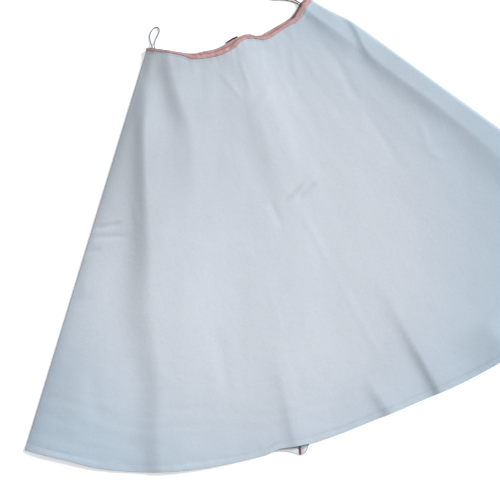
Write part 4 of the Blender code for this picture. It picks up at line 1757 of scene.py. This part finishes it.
@dataclass
class HangerLoop:
    """A hanger loop of two-ply twisted cord, sewn in between the panels at both ends."""

    name: str
    node: str
    points: Sequence[Point]
    radius: float = 1.2
    step: float = 4.5
    root_height: float = 3.7
    drop: float = 9.0
    sewn_in: float = 11.0
    clear: float = 0.05
    ring_step: float = 0.7
    sides: int = 16
    lay_length: float = 7.5
    ply_depth: float = 0.2
    ply_shade: float = 0.7

    def spread(self, points: np.ndarray, step: float) -> np.ndarray:
        """Points at even steps on a smooth curve through a route.

        Args:
            points: the route's points, a row each.
            step: distance between the new points.

        Returns:
            The new points, a row each.
        """
        padded = np.concatenate([[2 * points[0] - points[1]], points, [2 * points[-1] - points[-2]]])
        dense = []
        for before, near, far, after in zip(padded, padded[1:], padded[2:], padded[3:]):
            for t in np.linspace(0.0, 1.0, 12, endpoint=False):
                curve = 2 * near + (far - before) * t
                curve = curve + (2 * before - 5 * near + 4 * far - after) * t**2
                curve = curve + (3 * near - before - 3 * far + after) * t**3
                dense.append(curve / 2)
        dense = np.array([*dense, points[-1]])
        reach = reach_along(dense)
        places = np.linspace(0.0, reach[-1], max(3, round(reach[-1] / step) + 1))
        return np.stack([np.interp(places, reach, axis) for axis in dense.T], axis=1)

    def route(self) -> np.ndarray:
        """The cord's centreline: down from between the panels, then lying on the floor.

        Returns:
            x, y and z in millimetres, a row for each place.
        """
        flat = self.spread(np.array(self.points), self.step)
        reach = reach_along(flat)
        from_end = np.minimum(reach, reach[-1] - reach)
        low = self.radius + self.clear
        height = low + (self.root_height - low) * (1 - ease((from_end - self.sewn_in) / self.drop))
        return self.spread(np.column_stack([flat, height]), self.ring_step)

    def length(self) -> float:
        """Length of the centreline."""
        return float(reach_along(self.route())[-1])

    def build(self, material: Material) -> Piece:
        """Args:
            material: the cord's finish.

        Returns:
            The finished piece.
        """
        route = self.route()
        ahead = np.gradient(route, axis=0)
        ahead /= np.linalg.norm(ahead, axis=1)[:, None]
        across = np.cross(ahead, (0.0, 0.0, 1.0))
        across /= np.linalg.norm(across, axis=1)[:, None]
        over = np.cross(across, ahead)
        reach = reach_along(route)

        def shape(column: np.ndarray, row: np.ndarray) -> Places:
            """Where the cord's skin lies, whose two plies wind round each other.

            Args:
                column: number of the ring that a point is on.
                row: number of the point on its ring.

            Returns:
                x, y and z in millimetres, and the edge's shade.
            """
            turn = 2 * math.pi * row / self.sides
            ply = turn - 2 * math.pi * reach[column] / self.lay_length
            hollow = (1 - np.cos(2 * ply)) / 2
            radius = self.radius * (1 - self.ply_depth * hollow**1.5)
            point = route[column] + radius[:, None] * (
                np.cos(turn)[:, None] * across[column] + np.sin(turn)[:, None] * over[column]
            )
            # The edge attribute paints shade into the hollows between the plies.
            return point[:, 0], point[:, 1], point[:, 2], self.ply_shade * hollow**3

        piece = add_sheet(self.name, len(route) - 1, self.sides, shape)
        self.close(piece)
        hand_over(piece, material, "loop_cord", self.node)
        self.length() * MM
        return piece

    def close(self, piece: Piece) -> None:
        """Joins the skin's long edges, caps its ends and turns its faces out.

        Args:
            piece: the open skin.
        """
        select_only(piece)
        bpy.ops.object.mode_set(mode="EDIT")
        bpy.ops.mesh.select_all(action="SELECT")
        bpy.ops.mesh.remove_doubles(threshold=0.02 * MM)
        bpy.ops.mesh.select_all(action="DESELECT")
        bpy.ops.mesh.select_non_manifold()
        bpy.ops.mesh.fill_holes(sides=0)
        bpy.ops.mesh.select_all(action="SELECT")
        bpy.ops.mesh.normals_make_consistent(inside=False)
        bpy.ops.object.mode_set(mode="OBJECT")
        bpy.ops.object.shade_smooth_by_angle(angle=math.radians(60))


class StitchPlace(NamedTuple):
    """Middle of one stitch, and where the thread runs and the cloth faces there."""

    middle: np.ndarray
    ahead: np.ndarray
    up: np.ndarray


@dataclass
class StitchLine:
    """A line of machine stitches, one modelled stitch copied along a line on the cloth."""

    name: str
    length: float
    pitch: float
    radius: float
    sunk: float = 0.35

    def one_stitch(self) -> tuple[np.ndarray, list[tuple[int, ...]]]:
        """Makes one stitch, a bead of thread that dips into the cloth at both ends.

        Returns:
            Its points and its faces.
        """
        deselect_all()
        bpy.ops.mesh.primitive_uv_sphere_add(segments=6, ring_count=5, radius=1.0, location=(0, 0, 0))
        bead = bpy.context.object
        bpy.ops.object.mode_set(mode="EDIT")
        bpy.ops.mesh.select_all(action="SELECT")
        bpy.ops.transform.rotate(value=math.pi / 2, orient_axis="Y", center_override=(0, 0, 0))
        bpy.ops.transform.resize(value=(self.length / 2, self.radius, self.radius))
        bpy.ops.object.mode_set(mode="OBJECT")
        points = np.array([point.co for point in bead.data.vertices])
        faces = [tuple(face.vertices) for face in bead.data.polygons]
        points[:, 2] -= self.sunk * (2 * points[:, 0] / self.length) ** 2
        bpy.data.objects.remove(bead, do_unlink=True)
        return points, faces

    def build(self, places: Sequence[StitchPlace], material: Material, slot: str) -> Piece:
        """Makes the line as one piece.

        Args:
            places: where the stitches are.
            material: the thread's finish.
            slot: the record's slot of what they are sewn to.

        Returns:
            The finished piece.
        """
        bead, faces = self.one_stitch()
        points = []
        polygons = []
        for number, place in enumerate(places):
            side = np.cross(place.up, place.ahead)
            turned = bead @ np.stack([place.ahead, side, place.up])
            polygons += [tuple(corner + number * len(bead) for corner in face) for face in faces]
            points.append(place.middle + turned)
        data = bpy.data.meshes.new(self.name)
        data.from_pydata(np.concatenate(points) * MM, [], polygons)
        data.shade_smooth()
        piece = bpy.data.objects.new(self.name, data)
        bpy.context.collection.objects.link(piece)
        hand_over(piece, material, slot)
        return piece

    def along(self, place: Line, first: float, last: float) -> list[StitchPlace]:
        """Even places along a line on the cloth.

        Args:
            place: gives x, y and z in millimetres, a row each, for an array of angles.
            first: the angle at which the line starts.
            last: the angle at which it ends.

        Returns:
            A place for each stitch.
        """
        fine = place(np.linspace(first, last, 3000))
        reach = reach_along(fine)
        middles = np.arange(self.pitch, reach[-1] - self.pitch, self.pitch)
        found = []
        for middle in middles:
            ends = [
                np.array([np.interp(at, reach, axis) for axis in fine.T])
                for at in (middle - self.length / 2, middle + self.length / 2)
            ]
            ahead = ends[1] - ends[0]
            ahead /= np.linalg.norm(ahead)
            side = np.cross((0.0, 0.0, 1.0), ahead)
            side /= np.linalg.norm(side)
            found.append(StitchPlace((ends[0] + ends[1]) / 2, ahead, np.cross(ahead, side)))
        return found


@dataclass(frozen=True)
class Studio:
    """Pale floor, soft light and the photograph's view."""

    roll: float = 18.45
    tilt: float = 10.0
    distance: float = 1.61
    frame_width: float = 0.92
    target: Triple = (-0.10874, -0.0293, 0.0)
    sensor: float = 36.0
    floor_radius: float = 9.0
    key_strength: float = 5.37
    key_spread: float = 24.0
    key_height_angle: float = 24.0
    key_side_angle: float = 30.5
    sky_strength: float = 0.426
    sky: Colour = (0.97, 0.985, 1.0)

    def picture_axes(self) -> tuple[Vector, Vector]:
        """The picture's right and up directions, laid on the floor."""
        turn = math.radians(self.roll)
        return Vector((math.cos(turn), -math.sin(turn), 0.0)), Vector((math.sin(turn), math.cos(turn), 0.0))

    def add_camera(self) -> None:
        """Camera at the photograph's angle to the skirt."""
        right, ahead = self.picture_axes()
        tilt = math.radians(self.tilt)
        looking = math.sin(tilt) * ahead - math.cos(tilt) * Vector((0, 0, 1))
        up = math.cos(tilt) * ahead + math.sin(tilt) * Vector((0, 0, 1))
        data = bpy.data.cameras.new("photo_view")
        data.sensor_width = self.sensor
        data.lens = self.sensor * self.distance / self.frame_width
        camera = bpy.data.objects.new("photo_view", data)
        turned = Matrix((right, up, -looking)).transposed().to_4x4()
        camera.matrix_world = Matrix.Translation(Vector(self.target) - looking * self.distance) @ turned
        bpy.context.collection.objects.link(camera)
        bpy.context.scene.camera = camera

    def add_light(self) -> None:
        """A large soft light from the picture's upper right, and an even sky."""
        right, ahead = self.picture_axes()
        side = math.radians(self.key_side_angle)
        rise = math.radians(self.key_height_angle)
        level = math.cos(side) * right + math.sin(side) * ahead
        towards = math.cos(rise) * level + Vector((0, 0, math.sin(rise)))
        data = bpy.data.lights.new("window_light", "SUN")
        data.angle = math.radians(self.key_spread)
        data.energy = self.key_strength
        lamp = bpy.data.objects.new("window_light", data)
        lamp.rotation_euler = towards.to_track_quat("Z", "Y").to_euler()
        bpy.context.collection.objects.link(lamp)
        world = bpy.data.worlds.new("even_sky")
        world.use_nodes = True
        background = world.node_tree.nodes["Background"]
        background.inputs["Color"].default_value = (*self.sky, 1.0)
        background.inputs["Strength"].default_value = self.sky_strength
        bpy.context.scene.world = world
        bpy.context.scene.view_settings.view_transform = "Standard"

    def add_floor(self, material: Material) -> None:
        """Adds the round pale floor that the skirt lies on.

        Args:
            material: the floor's finish.
        """
        deselect_all()
        bpy.ops.mesh.primitive_circle_add(
            vertices=96, radius=self.floor_radius, fill_type="NGON", location=(0, 0, 0)
        )
        floor = bpy.context.object
        floor.name = "floor"
        floor.data.materials.append(material)


def main() -> None:
    """Builds the skirt's looks round the frame, piece by piece."""
    logging.basicConfig(level=logging.INFO, format="%(message)s")
    studio = Studio()
    studio.add_camera()
    form = SkirtForm()
    cord = CordFinish("hanger_cord", (0.25, 0.285, 0.31), (0.15, 0.155, 0.155), 120.0, 7.5).build()
    worn_cord = CordFinish("worn_hanger_cord", (0.23, 0.23, 0.21), (0.13, 0.115, 0.095), 120.0, 7.5).build()
    HangerLoop("left_hanger_loop", "loop_left", LEFT_LOOP).build(cord)
    HangerLoop("right_hanger_loop", "loop_right", RIGHT_LOOP).build(worn_cord)

    cloth = ClothFinish().build()
    panel = FrontPanel(form)
    front = panel.build(cloth)
    halves = [BackHalf(form, half) for half in Half]
    backs = [half.build(cloth) for half in halves]

    pink = StripFinish("salmon_strip", (0.54, 0.335, 0.325), (0.20, 0.085, 0.10), 368.0, 12.0).build()
    maroon = StripFinish("maroon_tape", (0.15, 0.055, 0.08), (0.07, 0.02, 0.035), 3.4, 730.0).build()
    dark = StripFinish("dark_label", (0.13, 0.115, 0.11), (0.007, 0.007, 0.009), 28.0, 11.0, 0.1).build()
    front_binding = FrontStrip(panel)
    front_strip = front_binding.build(pink)
    back_strip = BackStrip(form).build(pink)
    tape = SeamTape(halves[0]).build(maroon)
    label = LabelTab(form).build(dark)

    white_thread = ThreadFinish("white_thread", (0.72, 0.755, 0.79), (0.60, 0.63, 0.67)).build()
    pink_thread = ThreadFinish("pink_thread", (0.70, 0.42, 0.38), (0.52, 0.27, 0.25)).build()
    hem = StitchLine("hem_stitches", 2.6, 3.5, 0.3)
    hem_stitches = hem.build(hem.along(panel.stitching, -33.2, 33.2), white_thread, "cloth")
    edge = StitchLine("strip_stitches", 1.9, 2.6, 0.17, 0.2)
    strip_stitches = edge.build(edge.along(front_binding.stitching, -33.1, 30.8), pink_thread, "pink_binding")

    studio.add_light()
    studio.add_floor(FloorFinish().build())


if __name__ == "__main__":
    main()
